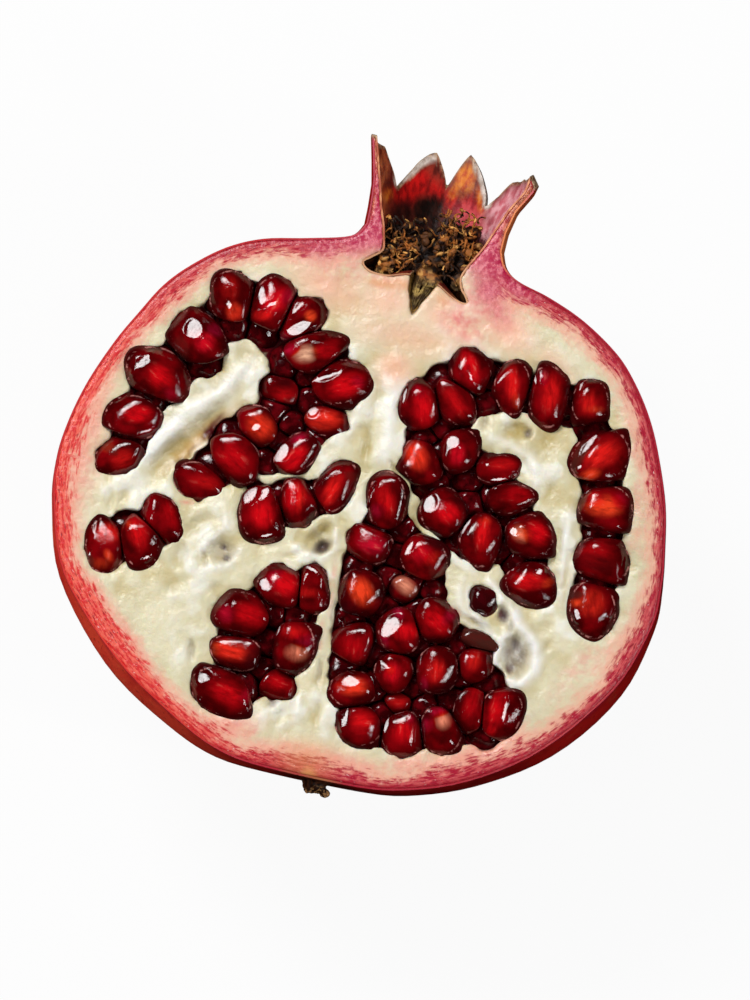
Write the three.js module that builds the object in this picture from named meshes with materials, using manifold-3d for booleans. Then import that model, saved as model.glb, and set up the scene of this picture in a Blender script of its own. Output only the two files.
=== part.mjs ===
// Half of a pomegranate, cut from the stem to the crown and lying on its round back.
// Millimetres. +Z is up, +Y runs along the fruit towards its crown, and the origin is
// the middle of the small flat spot that the half rests on.
import * as THREE from 'three';
import { mergeVertices } from 'three/addons/utils/BufferGeometryUtils.js';
import Module from 'manifold-3d';

const wasm = await Module();
wasm.setup();

// Driving dimensions.
const AXIS_HEIGHT = 48.6; // the fruit's axis above the resting spot, at the middle of its length
const AXIS_RISE = 0.03; // climb of the axis for each mm towards the crown
const CUT_HEIGHT = 53; // the cut face
const GAP = 0.35; // air between neighbouring pieces
const COLUMNS = 36; // points round each ring of the skin
const BODY_ROWS = 22;
const RIB = 0.006; // the six soft ribs, as a share of the radius
const BLOCK = 240; // side of a cutting block larger than the fruit

// The skin at the height of the axis: y, then the left and the right edge.
const STEM_POLE = [2, -43];
const BODY = [
  [-43.1, -5, 9],
  [-42.3, -15, 15.5],
  [-38, -25.5, 28],
  [-30.5, -36, 37.6],
  [-19, -45, 45.6],
  [-8, -48.5, 49.5],
  [-1, -49.2, 50],
  [5, -48.6, 49.6],
  [12, -46.8, 48],
  [19.5, -44, 45.3],
  [25, -41, 42.8],
  [30, -38, 39.5],
  [34, -34.4, 35.8],
  [38, -29.6, 30],
  [40.6, -24, 24.2],
  [42.2, -17, 18.4],
  [44, -11, 15.2],
  [46.5, -9, 14.1],
];

// The crown: a thick tube that ends in six sepals round a cup, as radius and y.
const CROWN_X = 2.6;
const SEPALS = 6;
const NOTCH_Y = 53.2;
const SEPAL_REACH = [0.82, 0.9, 1, 1.06, 1, 1.04]; // from the right-hand sepal round over the top
const CROWN_OUTSIDE = [
  [11.2, 49.5],
  [11.9, NOTCH_Y],
  [13, 56.6],
  [14.2, 59.8],
];
const CROWN_INSIDE = [
  [13.2, 59.6],
  [11.4, 56.6],
  [8.7, NOTCH_Y],
  [8.1, 49],
  [7.9, 44.5],
  [9.6, 40],
  [9.1, 38.2],
  [6.4, 38.6],
  [3.4, 40.4],
  [1.9, 37],
];
const STYLE_PIT_Y = 32.6;

// The stem stub and the hole that its root stands in.
const STEM_REACH = 3.2;
const STEM_RADIUS = 2.2;
const STEM_ROOT = 2;
const STEM_SIDES = 10;

// Arils, chamber by chamber: x, y, length, width, turn in degrees and the height of the top
// over the cut face.
const CHAMBERS = {
  arils_upper_left: [
    [-27, 30.3, 9.6, 7.4, 105, 2],
    [-31.2, 23.2, 10.8, 8.6, 140, 2.4],
    [-36, 15.8, 11.2, 9, 160, 2.4],
    [-38.6, 8.3, 9.8, 7.2, 178, 2],
    [-40, 1.2, 8, 6, 250, 1],
    [-20.5, 30.5, 10.6, 7.6, 70, 2],
    [-15.9, 29.4, 9.5, 5.8, 50, 1],
    [-12.5, 24.3, 12, 6.4, 20, 2],
    [-7.3, 20.3, 10.8, 7.4, 22, 2],
    [-8.2, 14.1, 8.6, 4.8, 10, 0.5],
    [-15.6, 18.6, 7.6, 6, 175, -1.5],
    [-13.8, 12.4, 6.4, 5, 20, -1.2],
    [-18.8, 11, 8.6, 6, 150, 1],
    [-20.9, 5, 10.6, 7.4, 145, 2],
    [-11.6, 7.8, 9.4, 5.6, 50, 1.5],
    [-26.2, 0, 9, 6.4, 177, 0.8],
  ],
  arils_left: [
    [-38.6, -12.8, 9.7, 6.8, 275, 1.6],
    [-33.6, -11, 10, 6.4, 298, 2],
    [-30.6, -6.6, 9, 5.8, 300, 1.2],
  ],
  arils_middle: [
    [-14.9, -3.1, 10, 7.4, 290, 2],
    [-9.8, -0.2, 8.2, 6.4, 285, 1.6],
    [-4.6, 3.6, 9.6, 6, 68, 1.4],
  ],
  arils_lower_left: [
    [-9.9, -13.4, 8.4, 7, 155, 2],
    [-4.8, -13.2, 8.6, 5.6, 100, 1],
    [-14.8, -19.2, 10, 7.6, 170, 2],
    [-14.6, -25.4, 9, 5.8, 175, 1.4],
    [-15.2, -32, 11.2, 7.2, 172, 2],
    [-5.6, -22.4, 9.6, 7, 280, 2],
    [-8, -28.8, 7.6, 5.4, 352, -0.6],
  ],
  arils_lower_right: [
    [4, 3, 9.2, 6.4, 105, 1.8],
    [2.8, -4, 8.4, 6.8, 170, 1.6],
    [11.8, -4.6, 9.2, 7, 320, 1.8],
    [3.6, -11.8, 8.2, 7.2, 120, 2.2],
    [9.4, -9.6, 5.4, 4.4, 160, 0],
    [15.7, -13.4, 8.6, 7.4, 150, 2],
    [10.4, -16.7, 8.4, 7, 110, 2.4],
    [3.6, -20.2, 8.8, 6.6, 95, 1.2],
    [17.6, -21.2, 8.4, 6.8, 100, 2.2],
    [10.8, -23.2, 7.4, 6.4, 100, 1.6],
    [23.2, -18.8, 7.2, 6, 90, 0.6],
    [4.7, -27.2, 7.4, 6, 10, 1.6],
    [6.9, -32.8, 7.6, 6.6, 15, 1.8],
    [14, -32.6, 8, 7, 100, 1.6],
    [20.3, -31, 8, 7.2, 110, 1.8],
    [24.2, -26.3, 9.2, 5.2, 85, 0.4],
    [29.1, -26.3, 9.8, 6.6, 81, 2],
    [12.4, -27.8, 6, 4.8, 10, -1.6],
  ],
  aril_single: [[22.4, -9.1, 6, 4.4, 310, 0.6]],
  arils_right: [
    [6.2, 19.4, 9.6, 7, 108, 1.8],
    [11, 21.6, 11, 5.8, 137, 1.4],
    [12.9, 26.6, 9.6, 6.4, 120, 1.6],
    [19.3, 25.4, 9.4, 6.4, 100, 1.8],
    [25.7, 25.4, 10.4, 6.8, 100, 2.2],
    [32.4, 25.8, 8, 6.6, 98, 1.8],
    [36, 17.4, 10.6, 8.6, 45, 2.4],
    [38.4, 9.7, 9.6, 8.2, 5, 2.4],
    [39.4, 1.6, 9.6, 8.4, 350, 2.2],
    [39.8, -7.2, 9.6, 7.8, 288, 2.4],
    [13.7, 13.5, 8, 7, 100, 1.8],
    [7.6, 10.6, 9.2, 6.2, 120, 1.6],
    [20.5, 12, 7.6, 5, 15, 1.2],
    [23.3, 8.2, 8.4, 5.2, 16, 1.8],
    [13.1, 3.6, 9.2, 7.6, 130, 2],
    [20.2, 0.6, 9.4, 7.2, 97, 2.2],
    [27.5, 3, 8.6, 7.6, 170, 2.4],
    [29.2, -4.6, 9, 8, 355, 2],
  ],
};
const ARIL_DEPTH = 0.86; // thickness as a share of the width
const ARIL_TAPER = 0.1; // how much slimmer the root end is
const ARIL_SQUARENESS = 0.9; // 1 is a plain ellipsoid, less is boxier
const WELL_DEPTH = 10; // the chambers below the cut face
const WELL_MARGIN = 0.7; // the pith stands this far off an aril's sides
const CORE_TOP = -4; // top of the low core that ties a chamber's arils, from the cut face
const CORE_WIDTH = 2.4;
const GROWN_TOGETHER = 3; // mm3 that two arils share when they need no core between them

// Empty sockets in the pith: x, y, length, width, turn in degrees and depth.
const SOCKETS = [
  [-25, -6.5, 5, 3, 160, 1.2],
  [-27, -13, 5.4, 3.6, 30, 1.4],
  [-20.3, -11, 6, 4, 60, 1.6],
  [-5.4, -5, 6.4, 4.6, 70, 4],
  [-6, -34, 5, 3.4, 10, 1],
  [24, 17.6, 6.4, 4.6, 350, 1.6],
  [17.2, 18.4, 4.4, 3.2, 20, 1],
  [29, -17, 6.6, 4, 110, 2.2],
  [-2.4, 13.4, 3.4, 2.4, 70, 1],
  [-31, -24, 7, 4.6, 140, 1],
];

// Dried stamens in the cup: a low core, and filaments whose tips lie near the cut face.
const STAMENS = 30;
const STAMEN_WIDTH = 0.85;
const STAMEN_CORE_Y = 45.6;
const STAMEN_CORE_DROP = 5.4; // its middle below the cut face
const STAMEN_CORE_SIZE = [6, 4.6, 4.2];
const STAMEN_SPREAD = 6.4;
const STAMEN_FIRST_Y = 42;
const STAMEN_LAST_Y = 51.4;
const STAMEN_TIP_DROP = 1.6;
const STAMEN_TANGLE = 1.8; // how far tips and bends stray from their even places

const axisHeight = (y) => AXIS_HEIGHT + AXIS_RISE * y;
const radians = (degrees) => (degrees * Math.PI) / 180;

function seeded(seed) {
  let state = seed;
  return () => {
    state = (state * 1664525 + 1013904223) % 4294967296;
    return state / 4294967296;
  };
}

function solid(geometry) {
  geometry.deleteAttribute('normal');
  geometry.deleteAttribute('uv');
  const merged = mergeVertices(geometry, 1e-5);
  return new wasm.Manifold(new wasm.Mesh({
    numProp: 3,
    vertProperties: new Float32Array(merged.attributes.position.array),
    triVerts: new Uint32Array(merged.index.array),
  }));
}

function mesh(name, body, colour, roughness) {
  const result = body.getMesh();
  const geometry = new THREE.BufferGeometry();
  geometry.setAttribute('position', new THREE.BufferAttribute(result.vertProperties, 3));
  geometry.setIndex(new THREE.BufferAttribute(result.triVerts, 1));
  geometry.computeVertexNormals();
  const material = new THREE.MeshStandardMaterial({ color: colour, roughness, metalness: 0 });
  const made = new THREE.Mesh(geometry, material);
  made.name = name;
  return made;
}

const join = (bodies) => bodies.reduce((whole, body) => whole.add(body));

function block(x, y, z, sizeX, sizeY, sizeZ, turn = 0) {
  const geometry = new THREE.BoxGeometry(sizeX, sizeY, sizeZ);
  geometry.rotateZ(turn);
  geometry.translate(x, y, z);
  return solid(geometry);
}

// An upright column with an oval plan.
function column(x, y, length, width, turn, bottom, top) {
  const plan = new THREE.Shape();
  plan.absellipse(0, 0, length / 2, width / 2, 0, 2 * Math.PI);
  const geometry = new THREE.ExtrudeGeometry(plan, {
    depth: top - bottom,
    bevelEnabled: false,
    curveSegments: 4,
  });
  geometry.rotateZ(radians(turn));
  geometry.translate(x, y, bottom);
  return solid(geometry);
}

// How far a sepal reaches at this angle: 1 at its tip, nearly 0 in the notch beside it.
function sepalReach(angle) {
  const place = (angle / (2 * Math.PI)) * SEPALS;
  const nearest = Math.round(place);
  const off = 2 * Math.abs(place - nearest);
  return SEPAL_REACH[nearest % SEPALS] * Math.max(0.06, (1 - off) ** 0.72);
}

// A ring of the skin round the axis; past the notches it follows the sepals.
function ring(x, radius, y, notchRadius) {
  return Array.from({ length: COLUMNS }, (_, place) => {
    const angle = (place / COLUMNS) * 2 * Math.PI;
    const reach = y > NOTCH_Y ? sepalReach(angle) : 1;
    const along = y > NOTCH_Y ? NOTCH_Y + (y - NOTCH_Y) * reach : y;
    const out = y > NOTCH_Y ? notchRadius + (radius - notchRadius) * reach : radius;
    const ribbed = out * (1 + RIB * Math.sin(SEPALS * angle));
    return [x + ribbed * Math.cos(angle), along, axisHeight(along) + ribbed * Math.sin(angle)];
  });
}

// A closed skin over rings, with a pole at each end.
function skinOver(rings, firstPole, lastPole) {
  const points = [firstPole, ...rings.flat(), lastPole];
  const at = (row, place) => 1 + row * COLUMNS + (place % COLUMNS);
  const faces = [];
  for (let place = 0; place < COLUMNS; place += 1) {
    faces.push(0, at(0, place), at(0, place + 1));
    faces.push(points.length - 1, at(rings.length - 1, place + 1), at(rings.length - 1, place));
    for (let row = 0; row + 1 < rings.length; row += 1) {
      faces.push(at(row, place), at(row + 1, place), at(row + 1, place + 1));
      faces.push(at(row, place), at(row + 1, place + 1), at(row, place + 1));
    }
  }
  const geometry = new THREE.BufferGeometry();
  geometry.setAttribute('position', new THREE.Float32BufferAttribute(points.flat(), 3));
  geometry.setIndex(faces);
  return solid(geometry);
}

// The whole fruit in its skin: body, neck, sepals, the cup between them and the style's pit.
function wholeFruit() {
  const edgePoints = BODY.map(([y, left, right]) => new THREE.Vector3(left, y, right));
  const edges = new THREE.CatmullRomCurve3(edgePoints);
  const body = edges.getPoints(BODY_ROWS).map(({ x: left, y, z: right }) => (
    ring((left + right) / 2, (right - left) / 2, y, 0)
  ));
  const crown = [CROWN_OUTSIDE, CROWN_INSIDE].flatMap((profile) => {
    const [notchRadius] = profile.find(([, y]) => y === NOTCH_Y);
    return profile.map(([radius, y]) => ring(CROWN_X, radius, y, notchRadius));
  });
  const stemPole = [...STEM_POLE, axisHeight(STEM_POLE[1])];
  const stylePole = [CROWN_X, STYLE_PIT_Y, axisHeight(STYLE_PIT_Y)];
  return skinOver([...body, ...crown], stemPole, stylePole);
}

// A rounded seed coat, slimmer at its root end and boxier than an egg. Its underside reaches
// down to the core on the chamber's floor.
function aril([x, y, length, width, turn, top]) {
  const geometry = new THREE.IcosahedronGeometry(1, 1);
  const position = geometry.attributes.position;
  const boxy = (value) => Math.sign(value) * Math.abs(value) ** ARIL_SQUARENESS;
  const rise = (width * ARIL_DEPTH) / 2;
  const sink = top - rise + WELL_DEPTH - GAP;
  for (let index = 0; index < position.count; index += 1) {
    const along = boxy(position.getX(index));
    const across = boxy(position.getY(index)) * (1 - ARIL_TAPER * along);
    const up = boxy(position.getZ(index));
    position.setXYZ(index, (along * length) / 2, (across * width) / 2, up * (up > 0 ? rise : sink));
  }
  geometry.rotateZ(radians(turn));
  geometry.translate(x, y, CUT_HEIGHT + top - rise);
  return solid(geometry);
}

// The core of a chamber: a low bar from each aril to the nearest one before it, where the
// two don't already grow into each other.
function coreBars(arils, margin, bottom, top) {
  const bodies = arils.map(aril);
  const bars = [];
  arils.slice(1).forEach(([x, y], before) => {
    const steps = arils.slice(0, before + 1).map(([otherX, otherY]) => [otherX - x, otherY - y]);
    const lengths = steps.map(([stepX, stepY]) => Math.hypot(stepX, stepY));
    const length = Math.min(...lengths);
    const nearest = lengths.indexOf(length);
    if (bodies[before + 1].intersect(bodies[nearest]).volume() > GROWN_TOGETHER) return;
    const [stepX, stepY] = steps[nearest];
    const middle = [x + stepX / 2, y + stepY / 2, (bottom + top) / 2];
    const turn = Math.atan2(stepY, stepX);
    bars.push(block(...middle, length, CORE_WIDTH + 2 * margin, top - bottom, turn));
  });
  return bars;
}

function well(arils) {
  const bottom = CUT_HEIGHT - WELL_DEPTH;
  const columns = arils.map(([x, y, length, width, turn]) => (
    column(x, y, length + 2 * WELL_MARGIN, width + 2 * WELL_MARGIN, turn, bottom, CUT_HEIGHT + 1)
  ));
  return join([...columns, ...coreBars(arils, GAP, bottom + GAP, CUT_HEIGHT + 1)]);
}

function cluster(arils) {
  const bars = coreBars(arils, 0, CUT_HEIGHT - WELL_DEPTH + 2 * GAP, CUT_HEIGHT + CORE_TOP);
  return join([...arils.map(aril), ...bars]);
}

function socket([x, y, length, width, turn, depth]) {
  const geometry = new THREE.OctahedronGeometry(1, 1);
  geometry.scale(length / 2, width / 2, depth);
  geometry.rotateZ(radians(turn));
  geometry.translate(x, y, CUT_HEIGHT);
  return solid(geometry);
}

// The short woody stub that the fruit hung by, waisted, with a hollow broken end.
function stemStub(margin) {
  const [x, y] = STEM_POLE;
  const profile = [
    [0, -STEM_ROOT - margin],
    [STEM_RADIUS * 0.9 + margin, -STEM_ROOT - margin],
    [STEM_RADIUS + margin, 0],
    [STEM_RADIUS * 0.86 + margin, STEM_REACH * 0.55],
    [STEM_RADIUS * 1.04 + margin, STEM_REACH],
    [0, STEM_REACH * 0.9],
  ].map(([radius, along]) => new THREE.Vector2(radius, along));
  const geometry = new THREE.LatheGeometry(profile, STEM_SIDES);
  geometry.rotateX(Math.PI);
  geometry.translate(x, y, axisHeight(y));
  return solid(geometry);
}

// A bent three-sided filament.
function filament(root, bend, tip) {
  const section = new THREE.Shape();
  section.moveTo(STAMEN_WIDTH / 2, 0);
  section.lineTo(-STAMEN_WIDTH / 4, STAMEN_WIDTH * 0.43);
  section.lineTo(-STAMEN_WIDTH / 4, -STAMEN_WIDTH * 0.43);
  const extrudePath = new THREE.CatmullRomCurve3([root, bend, tip]);
  return solid(new THREE.ExtrudeGeometry(section, { extrudePath, steps: 2, bevelEnabled: false }));
}

function stamens() {
  const draw = seeded(11);
  const stray = () => STAMEN_TANGLE * (draw() - 0.5);
  const middle = new THREE.Vector3(CROWN_X, STAMEN_CORE_Y, CUT_HEIGHT - STAMEN_CORE_DROP);
  const core = new THREE.IcosahedronGeometry(1, 1);
  core.scale(...STAMEN_CORE_SIZE);
  core.translate(middle.x, middle.y, middle.z);
  const filaments = Array.from({ length: STAMENS }, (_, index) => {
    const across = 2 * ((index * 0.618034) % 1) - 1; // golden-ratio steps fill the width evenly
    const along = (index + 0.5) / STAMENS;
    const tipY = STAMEN_FIRST_Y + (STAMEN_LAST_Y - STAMEN_FIRST_Y) * along;
    const tipZ = CUT_HEIGHT - STAMEN_TIP_DROP / 2 + stray();
    const tip = new THREE.Vector3(CROWN_X + STAMEN_SPREAD * across, tipY, tipZ);
    const root = middle.clone().lerp(tip, 0.25).setZ(middle.z - 1);
    const bend = root.clone().lerp(tip, 0.55).add(new THREE.Vector3(stray(), stray(), 1));
    return filament(root, bend, tip);
  });
  return join([solid(core), ...filaments]);
}

const pomegranate = new THREE.Group();
const chambers = Object.entries(CHAMBERS);
const half = wholeFruit()
  .subtract(block(0, 0, CUT_HEIGHT + BLOCK / 2, BLOCK, BLOCK, BLOCK))
  .subtract(block(0, 0, -BLOCK / 2, BLOCK, BLOCK, BLOCK));
const cuts = [...chambers.map(([, arils]) => well(arils)), ...SOCKETS.map(socket), stemStub(GAP)];
pomegranate.add(mesh('rind', half.subtract(join(cuts)), '#a3242c', 0.45));
for (const [name, arils] of chambers) {
  pomegranate.add(mesh(name, cluster(arils), '#7d0712', 0.12));
}
pomegranate.add(mesh('stamens', stamens(), '#8a5a26', 0.8));
pomegranate.add(mesh('stem_stub', stemStub(0), '#6b5230', 0.85));

export default pomegranate;
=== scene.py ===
import itertools
import math
import random

import bpy
import numpy as np
from mathutils import Matrix, Vector
from mathutils.bvhtree import BVHTree


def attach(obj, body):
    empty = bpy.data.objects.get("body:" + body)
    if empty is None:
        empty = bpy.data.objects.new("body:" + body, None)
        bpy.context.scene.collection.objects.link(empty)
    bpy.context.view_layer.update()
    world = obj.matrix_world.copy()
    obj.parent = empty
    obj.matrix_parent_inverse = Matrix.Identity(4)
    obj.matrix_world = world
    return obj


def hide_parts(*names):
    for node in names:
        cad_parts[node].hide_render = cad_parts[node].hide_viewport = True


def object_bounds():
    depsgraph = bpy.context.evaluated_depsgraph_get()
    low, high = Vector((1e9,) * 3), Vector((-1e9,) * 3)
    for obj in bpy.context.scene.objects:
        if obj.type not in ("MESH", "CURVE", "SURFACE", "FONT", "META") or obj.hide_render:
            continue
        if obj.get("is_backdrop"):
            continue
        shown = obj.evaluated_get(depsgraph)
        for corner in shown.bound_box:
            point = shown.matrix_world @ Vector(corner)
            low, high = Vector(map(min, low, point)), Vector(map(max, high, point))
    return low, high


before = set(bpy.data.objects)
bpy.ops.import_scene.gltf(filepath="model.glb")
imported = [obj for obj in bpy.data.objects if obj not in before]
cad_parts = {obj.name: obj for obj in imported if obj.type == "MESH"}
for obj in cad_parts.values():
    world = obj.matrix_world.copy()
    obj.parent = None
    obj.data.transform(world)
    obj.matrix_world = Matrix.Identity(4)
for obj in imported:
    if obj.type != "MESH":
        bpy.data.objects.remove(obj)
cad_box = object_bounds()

MM = 0.001

# ---- The stand: a pale table, soft light and the camera --------------------------------
# The half fruit lies on a plain pale table. The camera looks almost straight down on the
# cut face, leaning a little to the stem's side, so that a sliver of skin shows below it.
CUT_HEIGHT = 53
LOOK_AT = (2.15, 3.05, CUT_HEIGHT)
CAMERA_DISTANCE = 1.1
CAMERA_LEAN = math.radians(5.5)
CAMERA_LEAN_TOWARDS = math.radians(298)
PICTURE_TURN = math.radians(12)
PICTURE_HEIGHT = 160
SENSOR = 36
TABLE_SIZE = 4
TABLE_COLOUR = (0.03, 0.03, 0.03, 1)
TABLE_ROUGHNESS = 0.8
TABLE_GLOW = 0.935
ROOM_LIGHT = 0.07


def camera_place():
    lean = Vector((math.cos(CAMERA_LEAN_TOWARDS), math.sin(CAMERA_LEAN_TOWARDS), 0))
    away = lean * math.sin(CAMERA_LEAN) + Vector((0, 0, 1)) * math.cos(CAMERA_LEAN)
    up = Vector((-math.sin(PICTURE_TURN), math.cos(PICTURE_TURN), 0))
    up = (up - away * up.dot(away)).normalized()
    turned = Matrix((up.cross(away), up, away)).transposed().to_4x4()
    return Matrix.Translation(Vector(LOOK_AT) * MM + away * CAMERA_DISTANCE) @ turned


camera = bpy.data.objects.new("camera", bpy.data.cameras.new("camera"))
camera.data.sensor_width = SENSOR
camera.data.lens = SENSOR * CAMERA_DISTANCE / (PICTURE_HEIGHT * MM)
camera.matrix_world = camera_place()
bpy.context.scene.collection.objects.link(camera)
bpy.context.scene.camera = camera
bpy.context.scene.view_settings.view_transform = "Standard"


def soft_box(name, place, size, power, for_shine=True):
    """A lamp that faces the fruit, and may keep out of its shine."""
    lamp = bpy.data.lights.new(name, "AREA")
    lamp.shape = "RECTANGLE"
    lamp.size, lamp.size_y = size
    lamp.energy = power
    box = bpy.data.objects.new(name, lamp)
    facing = (Vector((0, 0, CUT_HEIGHT * MM)) - Vector(place)).to_track_quat("-Z", "Y")
    box.matrix_world = Matrix.Translation(place) @ facing.to_matrix().to_4x4()
    box.visible_glossy, box.visible_camera = for_shine, False
    bpy.context.scene.collection.objects.link(box)


soft_box("ceiling", (0, 0.1, 1.0), (1.4, 1.4), 3.6, for_shine=False)
soft_box("window light", (-0.40, 0.42, 0.75), (0.30, 0.30), 5.6)
soft_box("fill light", (0.62, -0.1, 0.6), (0.06, 0.36), 1.9)
soft_box("low light", (-0.80, -0.26, 0.26), (0.4, 0.3), 2.4, for_shine=False)

world = bpy.data.worlds.new("room")
world.use_nodes = True
world.node_tree.nodes["Background"].inputs["Color"].default_value = (1, 1, 1, 1)
world.node_tree.nodes["Background"].inputs["Strength"].default_value = ROOM_LIGHT
world.cycles_visibility.glossy = False
bpy.context.scene.world = world

bpy.ops.object.select_all(action="DESELECT")
bpy.ops.mesh.primitive_plane_add(size=TABLE_SIZE)
floor = bpy.context.object
floor.name = "floor"
table = bpy.data.materials.new("pale table")
table.use_nodes = True
table_finish = table.node_tree.nodes["Principled BSDF"]
table_finish.inputs["Base Color"].default_value = TABLE_COLOUR
table_finish.inputs["Roughness"].default_value = TABLE_ROUGHNESS
table_finish.inputs["Emission Color"].default_value = (1, 1, 1, 1)
table_finish.inputs["Emission Strength"].default_value = TABLE_GLOW
floor.data.materials.append(table)
floor.visible_diffuse = floor.visible_glossy = False
floor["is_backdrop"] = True


# ---- Skin -----------------------------------------------------------------------------
# The outside of the fruit: a leathery red skin, a third of a millimetre thick, that grew over
# the body, up the neck and round the sepals. A knife has cut it at the widest plane.
AXIS_HEIGHT = 47.2
AXIS_RISE = 0.05
UNDERSIDE = 0.965  # how full the side it lies on is
BODY = [
    (-42.5, 2, 2), (-42.6, -5.7, 9.5), (-41.8, -14.7, 16.9), (-38, -23.3, 27.1), (-30.5, -34.6, 37.7),
    (-19, -44.9, 46.4), (-8, -48.8, 49.9), (-1, -49.7, 50), (5, -49.2, 49.2), (12, -47.5, 47.8),
    (19.5, -44.5, 45.1), (25, -41.6, 42.5), (30, -38.7, 39.1), (34, -35.1, 35.3), (38, -30.1, 29.2),
    (40.6, -24.6, 23.1), (42.2, -17.6, 17.7), (44, -11, 15.2), (46.5, -9, 14.1),
]
NECK_Y = 46.5
CROWN_OUTSIDE = [
    (NECK_Y, -9, 14.1), (49.5, -9, 14.2), (53.2, -9.2, 15), (56.6, -9.9, 16.9), (63, -11.4, 18.6),
]
CROWN_INSIDE = [
    (NECK_Y, -6.5, 11), (50, -7.2, 12.6), (53.2, -7.8, 13.9), (56.6, -8.8, 15.9), (63, -10.5, 17.7),
]
CUP = [
    (44, -6, 9.6), (42, -5.8, 9), (40.2, -7.4, 9.3), (39.1, -8.4, 10.2), (38.2, -7.2, 10.6),
    (38.4, -4.6, 8.9), (39.6, -2.4, 6.9), (40.6, -0.4, 5.3), (41, 1.2, 3.6), (41.1, 2.4, 2.4),
]
# The crown's edge, round from the right: the angle in degrees and the height of each notch and tip.
CREST = [
    (-4, 60.1), (14, 59), (40, 54), (70, 60), (100, 54), (130, 59), (150, 54.6), (170, 60.6), (206, 60.2),
    (224, 54.3), (253.5, 62.1), (264.5, 56.6), (275.5, 63.2), (300.5, 54.2), (313, 59.2), (356, 60.1),
    (374, 59),
]
CUP_TILT = 0.13
CREST_FULLNESS = 1.25
CREST_RAG = 0.35
TIP_THICKNESS = 0.8
RIGHT_TIP_THICKER = 0.9
RIGHT_TIP_SLANT = 1.7
RIBS = 6
RIB_HEIGHT = 0.006
SKIN_DETAIL = (192, 5, 16)  # columns round it, steps between the body's points, and steps up the crown
# Where the side bulges out under the cut: direction, spread in degrees, and how far.
SWELLS = [(226, 24, 1.5), (330, 19, 1.4)]
SWELL_AT_CUT = 0.4
SKIN_THICKNESS = 0.3
SKIN_RIM_DROP = 0.08
RIM_BAND = (0.1, 0.02)
SMOOTH_BELOW = math.radians(50)
STEM = (2, -42.9, 45.8)
# Tints inside the crown: x, y, length, width, turn and strength.
LINING = {
    "red": [
        (-3.4, 55, 10, 6, 60, 1), (0.4, 54, 9, 4, 85, 1), (3, 54, 6, 3, 80, 0.8), (7, 53.6, 6, 4, 100, 0.9),
    ],
    "orange": [
        (5, 58.8, 6, 4, 80, 1), (3.8, 57, 5, 1.6, 75, 0.8), (8, 56, 6, 1.6, 110, 0.7),
        (-6.6, 52.6, 3, 2, 80, 0.7), (12, 47, 3, 2, 70, 0.7),
    ],
    "mauve": [(13.4, 54.4, 12, 7, 60, 1), (11, 50, 6, 4, 60, 0.9)],
    "crimson": [(6.6, 52.4, 6, 6, 60, 1), (8.6, 50.2, 5, 4, 80, 0.8)],
    "rust": [(-9, 56, 10, 4, 105, 1), (-7, 50, 6, 3, 100, 0.8)],
    # painted shade: near black down in the cup, where it lies in shadow
    "dark": [
        (1.4, 46, 15, 11, 0, 1), (0.3, 51.8, 7.2, 6.6, 85, 1), (-3.6, 50.2, 6, 5, 100, 0.9),
        (3.4, 50.6, 6, 2.6, 85, 0.8),
    ],
    "tissue": [(9, 40.4, 7, 5, 105, 1), (-6, 40, 8, 4, 10, 1)],
    "pale": [
        (-4.4, 57.2, 9, 1.8, 52, 1), (-1.4, 60.4, 3, 2, 30, 1), (8.4, 57.4, 9, 1.9, 112, 1),
        (6.6, 60.8, 2.4, 2, 0, 0.8),
    ],
}
# The two colours of each of those tints.
LINING_TINTS = {
    "red": ((0.24, 0.0015, 0.002), (0.62, 0.007, 0.006)),
    "crimson": ((0.36, 0.006, 0.02), (0.66, 0.07, 0.08)),
    "orange": ((0.60, 0.07, 0.006), (0.94, 0.30, 0.02)),
    "mauve": ((0.70, 0.15, 0.19), (0.94, 0.46, 0.50)),
    "rust": ((0.26, 0.03, 0.010), (0.62, 0.16, 0.05)),
    # painted shade in the cup
    "dark": ((0.006, 0.002, 0.001), (0.04, 0.008, 0.004)),
    "tissue": ((0.16, 0.05, 0.015), (0.62, 0.28, 0.09)),
}
# The channel of the flower's style, under the cup: the point it tapers to, its way, length,
# width and depth.
STYLE = (1.2, 32, 80, 18, 5.4, 13)
STYLE_RAG = 0.35


def through(points, steps):
    """Points along a smooth line through the given ones."""
    ends = np.array([points[0], *points, points[-1]], float)
    line = []
    for a, b, c, d in zip(ends, ends[1:], ends[2:], ends[3:]):
        for t in np.linspace(0, 1, steps, endpoint=False):
            line.append(b + (c - a) * t / 2 + (a - 2.5 * b + 2 * c - d / 2) * t ** 2
                        + (1.5 * (b - c) + (d - a) / 2) * t ** 3)
    return np.array([*line, ends[-1]])


def activate(piece):
    bpy.ops.object.select_all(action="DESELECT")
    piece.select_set(True)
    bpy.context.view_layer.objects.active = piece


def edit(piece):
    activate(piece)
    bpy.ops.object.mode_set(mode="EDIT")
    bpy.ops.mesh.select_mode(type="VERT")
    bpy.ops.mesh.select_all(action="SELECT")


def points_of(piece):
    """The piece's points, in millimetres."""
    found = np.empty(len(piece.data.vertices) * 3)
    piece.data.vertices.foreach_get("co", found)
    return found.reshape(-1, 3) / MM


def move_points(piece, points):
    piece.data.vertices.foreach_set("co", (points * MM).ravel())
    piece.data.update()


def facings_of(piece):
    found = np.empty(len(piece.data.vertices) * 3)
    piece.data.vertex_normals.foreach_get("vector", found)
    return found.reshape(-1, 3)


def mark(piece, name, values):
    """Keeps a number for each of the piece's points, which its material reads."""
    layer = piece.data.attributes.new(name, "FLOAT", "POINT")
    layer.data.foreach_set("value", np.asarray(values, np.float32))


def marks(piece, name):
    found = np.empty(len(piece.data.vertices))
    piece.data.attributes[name].data.foreach_get("value", found)
    return found


def apply(piece, kind, **settings):
    modifier = piece.modifiers.new(kind.lower(), kind)
    for key, value in settings.items():
        setattr(modifier, key, value)
    activate(piece)
    bpy.ops.object.modifier_apply(modifier=modifier.name)


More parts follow.
